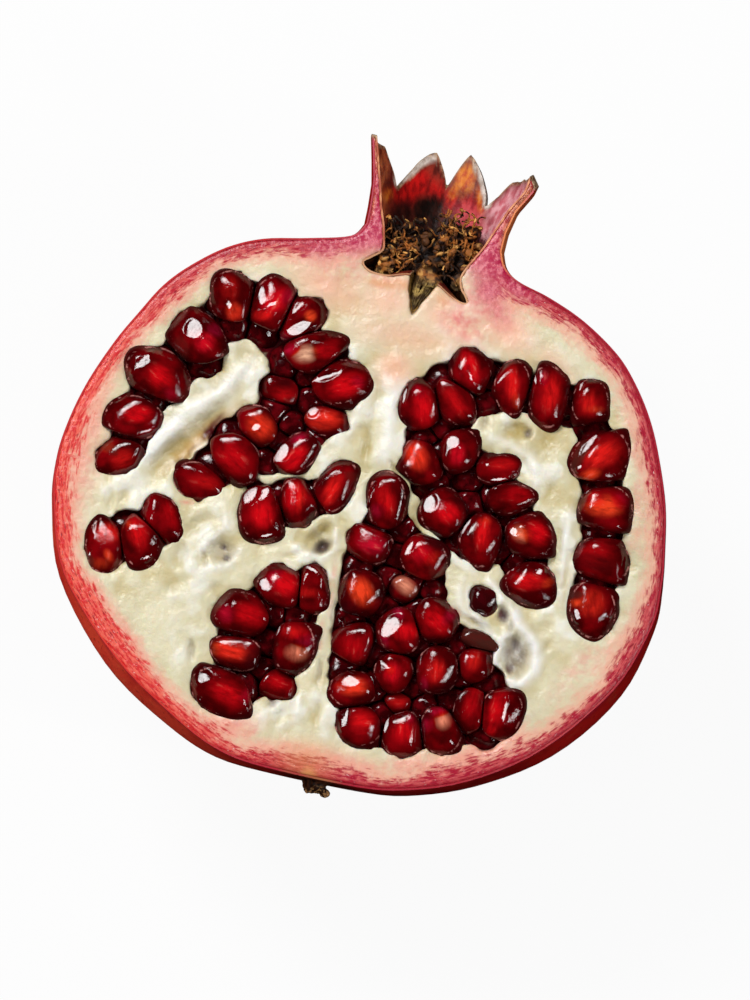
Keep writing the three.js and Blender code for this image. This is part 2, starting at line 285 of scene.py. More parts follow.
def cut(piece, height, above, fill=True):
    """A straight cut through the piece; what is above it, or below, falls away."""
    edit(piece)
    bpy.ops.mesh.bisect(plane_co=(0, 0, height * MM), plane_no=(0, 0, 1), use_fill=fill,
                        clear_outer=above, clear_inner=not above, threshold=1e-7)
    bpy.ops.object.mode_set(mode="OBJECT")


def grain(points, size, seed=0):
    """Soft random lumps of about this size, from -1 to 1."""
    place = np.asarray(points, float) / size + 31.7 * seed + 500
    corner = np.floor(place)
    part = place - corner
    part = part * part * (3 - 2 * part)
    total = 0
    for i in range(8):
        step = np.array([i & 1, i >> 1 & 1, i >> 2 & 1])
        h = np.sin((corner + step) @ np.array([12.9898, 78.233, 37.719])) * 43758.5453
        weight = np.prod(np.where(step, part, 1 - part), axis=1)
        total = total + (h - np.floor(h)) * weight
    return total * 2 - 1


def eased(values, low, high):
    share = np.clip((values - low) / (high - low), 0, 1)
    return share * share * (3 - 2 * share)


def crest_height(angles):
    """The height of the crown's edge at each angle: sharp notches between full tips."""
    places, heights = np.array(CREST, float).T
    degrees = np.degrees(angles) % 360
    height = np.zeros(len(degrees))
    for a, b, low, high in zip(places, places[1:], heights, heights[1:]):
        share = (degrees - a) / (b - a)
        share = np.where(low > high, share, 1 - share)
        here = (degrees >= a) & (degrees <= b)
        span = abs(high - low) * (1 - np.clip(share, 0, 1) ** CREST_FULLNESS)
        height = np.where(here, min(low, high) + span, height)
    return height


def side_at(side, heights):
    """The middle and radius of one side of the crown's wall at these heights."""
    y, left, right = np.array(side, float).T
    left, right = np.interp(heights, y, left), np.interp(heights, y, right)
    return (left + right) / 2, (right - left) / 2


def whole_fruit(columns, body_steps, crown_steps):
    """The uncut fruit: a profile spun round the Y axis, then bent to its uneven outline."""
    rows = [(y, (left + right) / 2, (right - left) / 2, -1, 0)
            for y, left, right in through(BODY, body_steps)]
    climb = np.linspace(0, 1, crown_steps)
    rows += [(NECK_Y, 0, 11 + t, t, 0) for t in climb[1:]]
    rows += [(NECK_Y, 0, 9 + t, t, 1) for t in climb[::-1]]
    rows += [(y, (left + right) / 2, (right - left) / 2, -1, 1)
             for y, left, right in through(CUP, body_steps)]
    rows = np.array(rows)
    mesh = bpy.data.meshes.new("fruit")
    mesh.from_pydata([(radius * MM, y * MM, 0) for y, _, radius, _, _ in rows],
                     [(i, i + 1) for i in range(len(rows) - 1)], [])
    fruit = bpy.data.objects.new("fruit", mesh)
    bpy.context.scene.collection.objects.link(fruit)
    for name, column in (("middle", 1), ("climb", 3), ("inside", 4)):
        mark(fruit, name, rows[:, column])
    edit(fruit)
    bpy.ops.mesh.spin(steps=columns, angle=2 * math.pi, center=(0, 0, 0), axis=(0, 1, 0))
    bpy.ops.mesh.select_all(action="SELECT")
    bpy.ops.mesh.remove_doubles(threshold=1e-6)
    bpy.ops.object.mode_set(mode="OBJECT")
    x, y, z = points_of(fruit).T
    middle, climbed, inside = (marks(fruit, name) for name in ("middle", "climb", "inside"))
    angle, radius = np.arctan2(z, x), np.hypot(x, z)
    crest = crest_height(angle)
    crest = crest + grain(np.stack([angle * 12, angle * 0, angle * 0], 1), 1.3, 4) * CREST_RAG
    right = eased(np.cos(angle), 0.7, 0.95)
    height = NECK_Y + climbed * (crest - NECK_Y - RIGHT_TIP_SLANT * right * (1 - inside))
    outer_middle, outer_radius = side_at(CROWN_OUTSIDE, height)
    _, inner_radius = side_at(CROWN_INSIDE, height)
    tip = TIP_THICKNESS + RIGHT_TIP_THICKER * right
    thinned = (outer_radius - inner_radius) * (1 - climbed ** 3) + tip * climbed ** 3
    crown = climbed >= 0
    y = np.where(crown, height, y)
    radius = np.where(crown, outer_radius - thinned * inside, radius)
    middle = np.where(crown, outer_middle, middle)
    radius = radius * (1 + RIB_HEIGHT * np.sin(RIBS * angle))
    above_axis = radius * np.sin(angle) * np.where(angle < 0, UNDERSIDE, 1)
    bent = np.stack([middle + radius * np.cos(angle), y, AXIS_HEIGHT + AXIS_RISE * y + above_axis], 1)
    bent[:, 1] -= CUP_TILT * (bent[:, 0] - 1) * inside * ~crown
    way = np.degrees(np.arctan2(bent[:, 1], bent[:, 0])) % 360
    swollen = np.interp(bent[:, 2], (5, 30, 48, CUT_HEIGHT), (SWELL_AT_CUT, 0.7, 1, 0))
    low = (swollen - SWELL_AT_CUT) * ~crown
    for towards, spread, swell in SWELLS:
        push = swell * low * np.exp(-((way - towards) / spread) ** 2)
        bent[:, :2] *= (1 + push / np.maximum(np.hypot(bent[:, 0], bent[:, 1]), 1))[:, None]
    edge = bent[climbed > 0.999]
    from_edge = np.full(len(bent), 99.0)
    from_edge[crown] = [np.min(np.linalg.norm(edge - point, axis=1)) for point in bent[crown]]
    mark(fruit, "from_edge", from_edge)
    move_points(fruit, bent)
    edit(fruit)
    bpy.ops.mesh.normals_make_consistent(inside=False)
    bpy.ops.object.mode_set(mode="OBJECT")
    return fruit


def oval(points, x, y, length, width, turn):
    """How far points lie from an oval's middle, as a share: 1 is on its edge."""
    a = math.radians(turn)
    dx, dy = points[:, 0] - x, points[:, 1] - y
    return np.hypot((dx * math.cos(a) + dy * math.sin(a)) / (length / 2),
                    (dy * math.cos(a) - dx * math.sin(a)) / (width / 2))


def spotted(points, spots, outer, inner, rag=0):
    """How strongly spots lie on the points. Each spot fades in from outer to inner."""
    shares = [strength * eased(oval(points, *spot) + rag, outer, inner) for *spot, strength in spots]
    return np.max(shares, axis=0)


def ball(x, y, z, length, width, depth, turn, finer=3):
    bpy.ops.object.select_all(action="DESELECT")
    bpy.ops.mesh.primitive_ico_sphere_add(subdivisions=finer, radius=1)
    made = bpy.context.object
    shape = Matrix.Diagonal((length / 2 * MM, width / 2 * MM, depth / 2 * MM, 1))
    made.data.transform(Matrix.Translation(Vector((x, y, z)) * MM)
                        @ Matrix.Rotation(math.radians(turn), 4, "Z") @ shape)
    return made


def style_channel():
    """The narrow boat-shaped channel that the dead style left between the cup and the seeds."""
    x, y, turn, length, width, depth = STYLE
    way = Vector((math.cos(math.radians(turn)), math.sin(math.radians(turn))))
    middle = Vector((x, y)) + way * length / 2
    channel = ball(0, 0, CUT_HEIGHT + 0.6, length, width, depth, 0, 5)
    points = points_of(channel)
    along = np.clip(points[:, 0] / (length / 2), -0.999, 0)
    narrow = np.sqrt((1 + along) / (1 - along))
    points[:, 1] *= narrow
    points[:, 2] = CUT_HEIGHT + (points[:, 2] - CUT_HEIGHT) * narrow
    flat = points[:, :2] @ np.array([[way.x, way.y], [-way.y, way.x]])
    points[:, :2] = flat + np.array(middle) + (grain(flat @ np.eye(2, 3), 1.8, 7) * STYLE_RAG)[:, None]
    move_points(channel, points)
    return channel


def apart(piece, other):
    """Takes the other piece's space out of this one."""
    apply(piece, "BOOLEAN", operation="DIFFERENCE", object=other, solver="MANIFOLD")
    bpy.data.objects.remove(other)


def put(tree, kind, wires=None, **settings):
    """Adds a node: its settings, and its sockets by name or number."""
    node = tree.nodes.new("ShaderNode" + kind)
    for key, value in settings.items():
        setattr(node, key, value)
    for socket, value in (wires or {}).items():
        if isinstance(value, bpy.types.NodeSocket):
            tree.links.new(value, node.inputs[socket])
        else:
            node.inputs[socket].default_value = value
    return node


def new_finish(name):
    material = bpy.data.materials.new(name)
    material.use_nodes = True
    return material, material.node_tree, material.node_tree.nodes["Principled BSDF"]


def noise(tree, place, scale, detail, roughness):
    wires = {"Vector": place, "Scale": scale, "Detail": detail, "Roughness": roughness}
    return put(tree, "TexNoise", wires).outputs["Fac"]


def speckle(tree, size, detail=3, stretch=(1, 1, 1), shift=0, roughness=0.5):
    """Random blotches of about this size in millimetres, from 0 to 1."""
    place = put(tree, "TexCoord").outputs["Object"]
    scale = tuple(1 / (size * MM * s) for s in stretch)
    wires = {"Vector": place, "Scale": scale, "Location": (shift, shift, shift)}
    return noise(tree, put(tree, "Mapping", wires).outputs[0], 1, detail, roughness)


def marked(tree, name):
    return put(tree, "Attribute", attribute_name=name).outputs["Fac"]


def sums(tree, how, a, b):
    return put(tree, "Math", {0: a, 1: b}, operation=how).outputs[0]


def between(tree, value, low, high, to=(0, 1)):
    """0 where the value is at low, 1 where it is at high, smoothly."""
    wires = {"Value": value, "From Min": low, "From Max": high, "To Min": to[0], "To Max": to[1]}
    return put(tree, "MapRange", wires, interpolation_type="SMOOTHSTEP").outputs[0]


def share_of(tree, part):
    """A share: a number, a node's output, a mark's name, or one of those with its low and high."""
    if isinstance(part, tuple):
        return between(tree, share_of(tree, part[0]), *part[1:])
    return marked(tree, part) if isinstance(part, str) else part


def layers(tree, colour, *coats):
    """The colour with each coat laid over it: a coat is its colour, and shares to multiply."""
    for over, *parts in coats:
        share = share_of(tree, parts[0])
        for part in parts[1:]:
            share = sums(tree, "MULTIPLY", share, share_of(tree, part))
        node = put(tree, "Mix", {0: share}, data_type="RGBA")
        for socket, value in ((6, colour), (7, over)):
            if isinstance(value, bpy.types.NodeSocket):
                tree.links.new(value, node.inputs[socket])
            else:
                node.inputs[socket].default_value = (*value, 1)
        colour = node.outputs[2]
    return colour


def roughen(tree, shader, height, distance):
    bump = put(tree, "Bump", {"Height": height, "Distance": distance * MM})
    tree.links.new(bump.outputs[0], shader.inputs["Normal"])


skin = whole_fruit(*SKIN_DETAIL)
cut(skin, 0, above=False)
cut(skin, CUT_HEIGHT - SKIN_RIM_DROP, above=True, fill=False)
apply(skin, "SOLIDIFY", thickness=SKIN_THICKNESS * MM, offset=-1)
apart(skin, style_channel())
skin.name = "rind_skin"
points = points_of(skin)
from_edge = marks(skin, "from_edge")
lining = eased(marks(skin, "inside"), 0.4, 0.9)
rag = grain(points * (1, 0.4, 1), 1.1, 6) * 0.2
for name, spots in LINING.items():
    mark(skin, name, spotted(points, spots, 1.2, 0.5, rag) * lining)
mark(skin, "lining", lining)
pale = marks(skin, "pale")
mark(skin, "dried", eased(from_edge + grain(points, 0.9, 8) * 0.25, 0.45 + 0.75 * pale, 0.2 + 0.7 * pale))
mark(skin, "rim", eased(points[:, 2], *(CUT_HEIGHT - SKIN_RIM_DROP - drop for drop in RIM_BAND)))
# Painted light: the skin and its cut rim are painted lighter and more coral towards the left, where the light
# falls.
drift = grain(points, 17, 3) * 9 + grain(points, 6, 4) * 4
mark(skin, "warm", eased(points[:, 0] + drift, 2, -40))
mark(skin, "neck", eased(points[:, 1] + grain(points, 3, 9) * 0.8, 41.5, 44.5))
sunny = eased(oval(points, 14.6, 49, 15, 10, 80) + grain(points, 2.4, 4) * 0.4, 1.4, 0.3)
mark(skin, "sunny", sunny * eased(points[:, 2] + grain(points, 4, 5) * 5, 38, 52))
to_stem = np.linalg.norm((points - STEM) * (1, 1, 0.6), axis=1)
mark(skin, "by_stem", eased(to_stem + grain(points, 2, 2) * 1.5, 8, 3))
activate(skin)
bpy.ops.object.shade_smooth_by_angle(angle=SMOOTH_BELOW)
material, tree, shader = new_finish("pomegranate skin")
blotch = speckle(tree, 13, 5, (1, 1.5, 1), roughness=0.6)
fine = speckle(tree, 1.4, 4, (0.7, 1.8, 1), 2)
lining = layers(tree, (0.10, 0.010, 0.006), ((0.26, 0.03, 0.015), (fine, 0.35, 0.65)))
for name, (low, high) in LINING_TINTS.items():
    lining = layers(tree, lining, (layers(tree, low, (high, (fine, 0.35, 0.65))), name))
rim = layers(
    tree, (0.38, 0.008, 0.026),
    # painted light: the rim is painted brighter towards the left
    ((0.56, 0.025, 0.03), "warm"),
    (layers(tree, (0.62, 0.10, 0.15), ((0.76, 0.24, 0.08), "sunny")), "neck"),
    (layers(tree, (0.46, 0.12, 0.05), ((0.80, 0.36, 0.16), (fine, 0.4, 0.6))), "lining", 0.85),
    ((0.62, 0.32, 0.17), "lining", sums(tree, "SUBTRACT", 1, marked(tree, "neck"))),
    ((0.36, 0.13, 0.05), "by_stem"),
)
dry = layers(tree, (0.16, 0.07, 0.03), ((0.52, 0.34, 0.2), (speckle(tree, 0.8, 4, shift=5), 0.38, 0.6)))
paler = layers(tree, (0.45, 0.36, 0.30), ((0.84, 0.74, 0.66), (speckle(tree, 1.6, 3, shift=5), 0.3, 0.62)))
colour = layers(
    tree, (0.22, 0.0015, 0.002),
    ((0.46, 0.008, 0.006), (blotch, 0.34, 0.64)),
    # painted light: lighter, coral skin on the left side
    (layers(tree, (0.66, 0.028, 0.018), ((0.82, 0.066, 0.032), (blotch, 0.36, 0.6))), "warm"),
    (layers(tree, (0.36, 0.05, 0.02), ((0.84, 0.20, 0.07), "warm")),
     (speckle(tree, 1.5, 6, (1, 3.4, 1), 3, 0.68), 0.54, 0.72, (0, 0.5))),
    ((0.26, 0.002, 0.006), (speckle(tree, 1.1, 4, shift=9, roughness=0.6), 0.58, 0.7, (0, 0.6))),
    ((0.16, 0.03, 0.012), (speckle(tree, 0.55, 1, shift=7), 0.7, 0.76, (0, 0.7))),
    ((0.09, 0.016, 0.005), "by_stem"),
    ((0.68, 0.16, 0.045), "sunny"),
    (lining, "lining"),
    (rim, "rim"),
    (layers(tree, dry, (paler, "pale")), "dried"),
)
tree.links.new(colour, shader.inputs["Base Color"])
shader.inputs["Roughness"].default_value = 0.45
shader.inputs["Specular IOR Level"].default_value = 0.22
roughen(tree, shader, speckle(tree, 0.7, 5), 0.1)
skin.data.materials.clear()
skin.data.materials.append(material)
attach(skin, "root")
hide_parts("rind")


# ---- Pith and seed chambers -----------------------------------------------------------
# Under the skin lies thick cream pith, which grew as one with it and runs as thin walls
# between the chambers. Each seed pressed its own hollow into it. The knife left it moist.

# Seeds by chamber: x, y, length, width, turn, height of the top over the cut face.
CHAMBERS = {
    "arils_upper_left": [
        (-27, 30.2, 9.6, 8.1, 105, 2), (-31, 22.7, 11, 9, 140, 2.4), (-36, 15.5, 12, 9.6, 160, 2.4),
        (-38.4, 8.1, 10.2, 7.6, 178, 2), (-39.4, 1.7, 9.2, 6.7, 208, 1), (-20.5, 30.4, 10.8, 8.1, 70, 2),
        (-15.5, 29.2, 10.2, 6.4, 46, 1), (-12.4, 24.3, 12.3, 7, 20, 2), (-7.6, 20.4, 11.5, 7.8, 22, 2),
        (-8.3, 13.9, 8.8, 5.3, 6, 0.5), (-16.2, 17.4, 8.5, 6.2, 175, -0.6), (-13.8, 12.4, 6.4, 5, 20, -1.1),
        (-18.5, 10.7, 9.3, 6.9, 150, 1), (-21.3, 5.3, 11.5, 7.8, 145, 2), (-11.6, 7.9, 9.6, 6.2, 50, 1.5),
        (-26, 0.2, 9.5, 6.8, 177, 0.8),
    ],
    "arils_left": [
        (-38.5, -12.9, 10, 7.2, 275, 1.6), (-33.6, -11, 10.1, 6.8, 298, 2), (-30.7, -6.8, 9.7, 6.3, 300, 1.2),
    ],
    "arils_middle": [
        (-15, -2.8, 10.7, 8.1, 290, 2), (-9.8, 0, 8.9, 7, 285, 1.6), (-4.6, 3.8, 10.3, 6.7, 68, 1.4),
    ],
    "arils_lower_left": [
        (-9.6, -13.6, 8.9, 7.4, 155, 2), (-4.8, -13, 9.4, 6.1, 100, 1), (-14.6, -19.4, 10.5, 7.9, 170, 2),
        (-14.4, -25.4, 9.6, 6.3, 175, 1.4), (-15.3, -32, 11.7, 7.9, 172, 2), (-5.7, -22.6, 10, 7.4, 280, 2),
        (-7.2, -29, 7.8, 5.8, 352, -0.4),
    ],
    "arils_lower_right": [
        (4.1, 3, 11.2, 6.6, 102, 1.8), (2.8, -4, 8.6, 7.2, 170, 1.6), (11.6, -4.4, 9.9, 7.7, 320, 1.8),
        (3.3, -12, 9, 8, 115, 2.2), (9.6, -9.9, 6.3, 5, 160, 0), (15.6, -13.9, 9, 7.6, 150, 2),
        (10.4, -16.8, 8.8, 7.4, 110, 2.4), (3.6, -20.1, 9.1, 7.9, 95, 1.2), (17.6, -21.5, 8.9, 7.2, 100, 2.2),
        (10.8, -23.3, 7.7, 6.9, 100, 1.6), (23.2, -19.6, 7.5, 6.4, 90, 0.8), (23.2, -15.5, 8, 2.7, 168, 0.3),
        (5.1, -27.3, 8.5, 6.7, 10, 1.6), (7.2, -32.8, 8.4, 7.3, 15, 1.8), (14.2, -32.7, 8.6, 7.5, 100, 1.6),
        (20.1, -30.8, 8.8, 7.4, 110, 1.8), (24.2, -26.8, 10.4, 6.3, 85, 0.8), (28.8, -26.4, 10, 7.4, 81, 2),
        (12.4, -27.9, 6, 4.8, 10, -1),
    ],
    "aril_single": [(22.4, -9.1, 6, 4.5, 310, 0.6)],
    "arils_right": [
        (6.3, 19.3, 10.2, 7.6, 108, 1.8), (11.2, 21.4, 11, 6.2, 137, 1.4), (13, 26.2, 9.8, 6.8, 120, 1.6),
        (19.9, 25.3, 9.8, 6.3, 100, 1.8), (25.9, 25, 11, 7.1, 100, 2.2), (32.6, 25.4, 8.4, 6.4, 98, 1.8),
        (36, 17.1, 11, 9, 48, 2.4), (38.5, 9.2, 9.6, 8.4, 5, 2.4), (39.7, 1.1, 9.7, 8.7, 350, 2.2),
        (39.8, -7, 10.2, 8, 288, 2.4), (13.6, 13.6, 8.2, 7.2, 100, 1.8), (8.3, 10.5, 9.4, 6.9, 120, 1.6),
        (20.3, 11.9, 8.2, 5, 15, 1.2), (23.2, 7.7, 8.6, 5.3, 16, 1.8), (13.4, 3.4, 9.7, 8.2, 130, 2),
        (20.1, 0.4, 9.9, 7.7, 97, 2.2), (27.4, 2.3, 8.8, 7.8, 170, 2.4), (29.3, -4.9, 9, 8, 355, 2),
    ],
}
# Smaller seeds fill the gaps under the first layer, in x and y.
DEEPER = {
    "arils_upper_left": [
        (-16.4, 21.8), (-11.6, 17.2), (-12.6, 20.6), (-22.8, 8.6), (-15.2, 9.4), (-16.6, 6), (-24.6, 3.6),
        (-29.4, 19.4), (-36.2, 12), (-38.4, 4.9), (-21.4, 26.6), (-16.4, 13.6), (-9, 11.2), (-26, 26.6),
    ],
    "arils_left": [(-36, -9.6)],
    "arils_middle": [(-12.2, 0.4), (-7.4, 1.6)],
    "arils_lower_left": [
        (-9.6, -18), (-10.2, -22.6), (-10.4, -27.2), (-12, -29.6), (-15, -22.4), (-7, -17.6),
    ],
    "arils_lower_right": [
        (7.6, -0.6), (7.4, -5), (1.4, -8), (7, -8.6), (7, -13.4), (1.6, -16), (7.2, -20.4), (13.6, -17.8),
        (14, -24.8), (8, -26.2), (10.4, -30.2), (16.6, -27.6), (20.6, -25.6), (21, -21.6), (25.6, -22),
        (27, -29.4), (20, -16.6), (12.2, -12.6), (13.6, -9), (2.4, -23.8), (11, -8.6),
    ],
    "aril_single": [],
    "arils_right": [
        (9.6, 16.4), (10.6, 13), (10.2, 7.4), (16.4, 9.4), (17, 6), (16.8, 0), (23.8, 0), (16.2, 22.6),
        (22.4, 24.6), (29, 24.6), (33.8, 21.4), (36.6, 13), (38.4, 5.4), (39, -3), (24.4, 5.4), (8.4, 15),
        (8.8, 24), (20.6, 8), (16.2, 26), (26.4, -1.6),
    ],
}
DEEP_SEED = (6.8, 6)  # length and width
DEEP_TURN = 37
DEEP_TOP = -1.1
for name, spots in DEEPER.items():
    CHAMBERS[name] = CHAMBERS[name] + [(x, y, *DEEP_SEED, DEEP_TURN * x % 180, DEEP_TOP) for x, y in spots]
SEEDS = [seed for seeds in CHAMBERS.values() for seed in seeds]
SEED_DEPTH = 0.86
FLESH_INSET = 0.24
FLESH_GRID = 0.42
SEEN_DEPTH = 3.5
KEPT_SHARE = 0.4
# Walls of pith between chambers: x, y and width along each.
WALLS = [
    [(-25, -3.6, 1.6), (-21.4, -0.2, 1.6), (-18, 2.4, 0.8), (-15, 3.3, 0.9), (-12, 4, 0.8), (-9.2, 6, 1.2),
     (-7.4, 9.2, 2), (-5, 12, 3)],
    [(0, 24, 4), (-0.4, 16, 4.2), (-0.2, 9, 2.6), (-0.4, 3, 1.8), (-1.6, -3, 1.3), (-1.4, -9, 1.2),
     (-1, -15, 1.2), (-0.7, -22, 1.6), (-0.4, -29, 3), (0, -36, 4)],
    [(2.6, 9.6, 2.4), (5.4, 6.6, 1.6), (8.6, 2.2, 1.3), (12, -0.8, 1.3), (16, -3.4, 1.6), (19.6, -5.2, 2),
     (24, -6.4, 1.8), (27, -10, 3)],
    [(-2.4, -8.6, 1.4), (-6, -7.6, 1.8), (-10, -8.2, 2.4)],
]
WALL_FOOT = 40
# Hollows in the cut face: x, y, length, width, turn, depth, and shares of olive and grey. The olive is
# partly the pith's own yellow, partly painted shade down the hollows' sides; the grey is painted shade.
HOLLOWS = [
    (-28.4, 6.8, 25, 5, 52, 1.2, 1, 0), (-27.5, 15.8, 4.4, 2.6, 65, 0.45, 0.8, 0),
    (-23.8, 22.8, 5, 2.6, 100, 0.4, 0.7, 0), (-22.6, 18, 4.4, 2.2, 70, 0.5, 0.7, 0),
    (-26, 19.4, 3, 1.8, 70, 0.3, 0.4, 0), (-33.4, 7.4, 4, 1.6, 55, 0.3, 0.3, 0),
    (-39.4, -5.6, 4.6, 1.6, 100, 0.45, 0.5, 0), (-37.2, -4.6, 3.4, 1.4, 60, 0.4, 0.6, 0),
    (-24.8, -6.6, 7, 2.6, 50, 0.8, 0.9, 0), (-22.4, -5.4, 4.4, 1.6, 35, 0.4, 0.6, 0),
    (-26.6, -12, 4.6, 2.8, 95, 1, 1, 0), (-22.6, -11.6, 3.6, 1, 115, 0.7, 0.8, 0.3),
    (-20, -9.9, 5.4, 4.6, 20, 0.7, 0, 0.6), (-20, -9.3, 1.2, 1, 0, 0.8, 0, 1),
    (-19.2, -10.9, 1.6, 1.2, 30, 0.8, 0, 1), (-21.4, -16, 5.6, 2.6, 20, 0.3, 0.7, 0),
    (-26.6, -17, 6, 2.2, 40, 0.25, 0.4, 0), (-5.4, -4.4, 6, 3, 52, 1.8, 1, 0),
    (-4.6, -6, 2.6, 2.2, 30, 3, 1, 0.6), (-8.8, -8.3, 4, 1.2, 18, 0.5, 0.8, 0),
    (-1, 12, 8, 1.7, 94, 0.8, 0.9, 0), (-0.9, 18.4, 7, 1.5, 86, 0.5, 0.6, 0),
    (-5, 14.4, 6, 1.4, 55, 0.3, 0.3, 0), (-0.6, -16, 7, 0.8, 95, 0.4, 0.5, 0.5),
    (-0.9, -25.6, 4.6, 1.1, 92, 0.6, 0.5, 0.5), (-4.8, -32.8, 5.4, 2.4, 62, 0.8, 0.9, 0),
    (-7.2, -32, 2.6, 2, 20, 0.7, 0.2, 0.8), (0.2, -32, 5, 1.5, 92, 0.5, 0.5, 0),
    (-21.6, -26.6, 4.4, 1.4, 100, 0.7, 0.4, 0.5), (16.7, 18.8, 2.6, 1.6, 90, 0.7, 0.7, 0.4),
    (22, 18.7, 5.4, 3, 10, 1.1, 1, 0), (23.9, 18.6, 1.8, 1.4, 90, 1, 0.5, 0.7),
    (27.2, 18, 7, 4, 100, 0.3, 0.7, 0), (24.8, 14.4, 7, 3, 75, 0.3, 0.6, 0),
    (29.4, 11, 5.4, 1.8, 70, 0.35, 0.5, 0), (25, 13, 4, 1.6, 140, 0.3, 0.3, 0),
    (34.5, -2.2, 9, 1.4, 86, 0.4, 0.6, 0), (32.6, 4, 6, 1, 88, 0.35, 0.4, 0),
    (26, -10.8, 3, 2.4, 110, 1.4, 0, 1), (27.6, -12.4, 2.4, 1.2, 100, 0.7, 0, 0.7),
    (29.2, -16.6, 7.4, 5.2, 95, 1.5, 0, 0.9), (28.8, -18.7, 2.6, 2.2, 80, 0.5, 0, 1),
    (28.8, -15, 3.4, 2, 100, 0.6, 0, 1), (21.6, -12.9, 4.4, 1.3, 160, 0.7, 0.9, 0),
    (32.6, -11.4, 5.6, 2.6, 20, 0.25, 0.6, 0), (33.6, -14.6, 5, 1.8, 60, 0.25, 0.5, 0),
    (20.6, -4.9, 3.4, 0.8, 160, 0.4, 0.7, 0), (4.6, 8, 5, 1.2, 130, 0.6, 0.7, 0),
    (9.4, 0.8, 5, 0.7, 130, 0.4, 0.6, 0),
]
# Folds that stand a little proud of it: points along each, width and height.
FOLDS = [
    ([(-20, 24), (-22.4, 19.4), (-26.4, 14.4), (-30.4, 10.6), (-33.6, 6), (-36, 1.6), (-38.4, -1)],
     1.4, 0.45),
    ([(-23, 25.6), (-27, 22), (-31, 16.6), (-34.6, 9.6), (-36, 5)], 1.2, 0.25),
    ([(-2.2, 23.6), (-3, 17), (-5.2, 12.4), (-7.4, 9.6)], 1.3, 0.3),
    ([(2.4, 23.8), (1.7, 17), (2, 12), (2, 8)], 1.2, 0.4),
    ([(-21.4, -2), (-20.4, -6), (-22.6, -9), (-23.8, -12)], 0.6, 0.3),
    ([(-17, -8), (-18.6, -12), (-22, -13.4)], 0.7, 0.25),
    ([(-19, -14), (-24, -18), (-28, -19.6)], 0.8, 0.2),
    ([(-3.4, -1.4), (-2.4, -6), (-4.4, -8.2), (-8.2, -7.2)], 0.5, 0.35),
    ([(33, 9), (33.2, 3), (34, -3), (34.6, -8)], 0.6, 0.35), ([(35.4, 2), (35.6, -4), (36.2, -9)], 0.6, 0.25),
    ([(17, 16.4), (20, 16.6), (25, 15), (28, 9)], 0.9, 0.3),
    ([(18, -6), (19, -11), (24, -14), (27, -15.6)], 0.8, 0.35),
    ([(24.6, -7.4), (27.4, -9.4), (28.6, -11.8), (30.6, -13), (32.6, -15.4), (32.8, -18.4), (31, -21),
      (28.4, -21.4), (26.2, -19.4)],
     1, 0.5),
    ([(27.4, -20.6), (26, -17.6), (26.6, -14.6), (28.4, -12.6)], 0.7, 0.5),
    ([(24.4, -12.4), (22, -13.2), (19.4, -12.4)], 0.5, 0.4),
    ([(19.4, -6.6), (20.4, -10.6), (23.4, -13)], 0.6, 0.4),
    ([(21.6, -5.4), (24.6, -7), (25.6, -9.4)], 0.6, 0.4),
    ([(2.4, -29.6), (1.4, -33), (2.6, -37)], 0.8, 0.25), ([(-2.6, -30), (-3, -34), (-6, -36.6)], 0.8, 0.25),
]
# Where the pith is tinted: x, y, length, width, turn and strength.
BLOTS = {
    "mauve": [
        (-9.5, 43.5, 8, 6, 70, 1), (-14, 41, 9, 5, 20, 0.75), (12.6, 44, 10, 7, 75, 1),
        (13, 40, 9, 7, 110, 0.95), (17.6, 41, 10, 4, 160, 0.9), (15, 37, 8, 5, 130, 0.5),
    ],
    "ruddy": [
        (15.4, 55, 13, 6, 66, 1), (13.9, 49.6, 7, 2.4, 85, 0.9), (-10.4, 57.6, 13, 5, 98, 1),
        (-8.2, 50, 8, 1.4, 95, 0.7),
    ],
    "peach": [
        (8, 34, 18, 11, 160, 0.8), (-3, 35, 16, 11, 20, 0.75), (3, 29, 18, 8, 0, 0.6),
        (-12, 35, 20, 10, 165, 0.85), (16, 35, 18, 10, 150, 1), (2, -40, 28, 8, 0, 1),
        (24, -34, 22, 8, 35, 0.7), (-44, 4, 24, 8, 90, 0.5), (26, 30, 14, 6, 140, 0.5),
        (0, 38, 16, 5, 0, 0.9), (-22, 33, 8, 4, 140, 0.4), (1, 24.6, 9, 9, 0, 0.85),
        (-12, -37, 12, 6, 15, 0.7), (2, 30, 26, 9, 0, 0.7),
    ],
    # The long tan streak at (-27, 7.4) is painted shade down the side of the pith bar.
    "tan": [
        (0.8, -42.6, 4.4, 7, 0, 0.8), (0, -40, 12, 9, 0, 0.35), (3.6, 38.6, 2.4, 5, 100, 0.6),
        (-0.8, 38, 2, 5, 80, 0.5), (-4, 37.4, 8, 2, 0, 0.6), (1, 25, 7, 5, 0, 0.25),
        (-27, 7.4, 20, 3.8, 52, 0.4), (6, 37, 5, 4, 120, 0.4),
    ],
    "blush": [
        (-38, 28, 30, 7, 50, 0.5), (-45, 0, 40, 7, 92, 0.6), (-34, -28, 34, 9, 135, 0.9),
        (-13, -37, 9, 4, 10, 1), (-9.6, -37.2, 3.4, 2.4, 60, 1), (26, -33, 26, 6, 40, 0.7),
        (40, -16, 20, 5, 60, 0.5), (-10, 39, 16, 7, 10, 0.7), (13, 38, 14, 9, 150, 1), (-4, 38, 8, 4, 0, 0.6),
        (10, 34, 13, 7, 150, 1), (4, -39.6, 22, 5, 0, 0.8), (16, -37, 12, 5, 20, 0.7),
        (43, 8, 24, 4, 90, 0.4), (15.4, 23.4, 3, 1.6, 40, 0.9), (24, 21.3, 3, 1, 170, 0.9),
        (31.4, 21.8, 2, 1, 30, 0.5), (-1.6, -12, 12, 1.4, 95, 0.6), (-1.8, -20, 8, 1.4, 95, 0.6),
        (18.6, -12, 3, 1.4, 120, 0.8), (14.6, -8.8, 2, 1.4, 60, 0.9), (-27, -3.4, 4, 1.2, 10, 0.8),
    ],
}
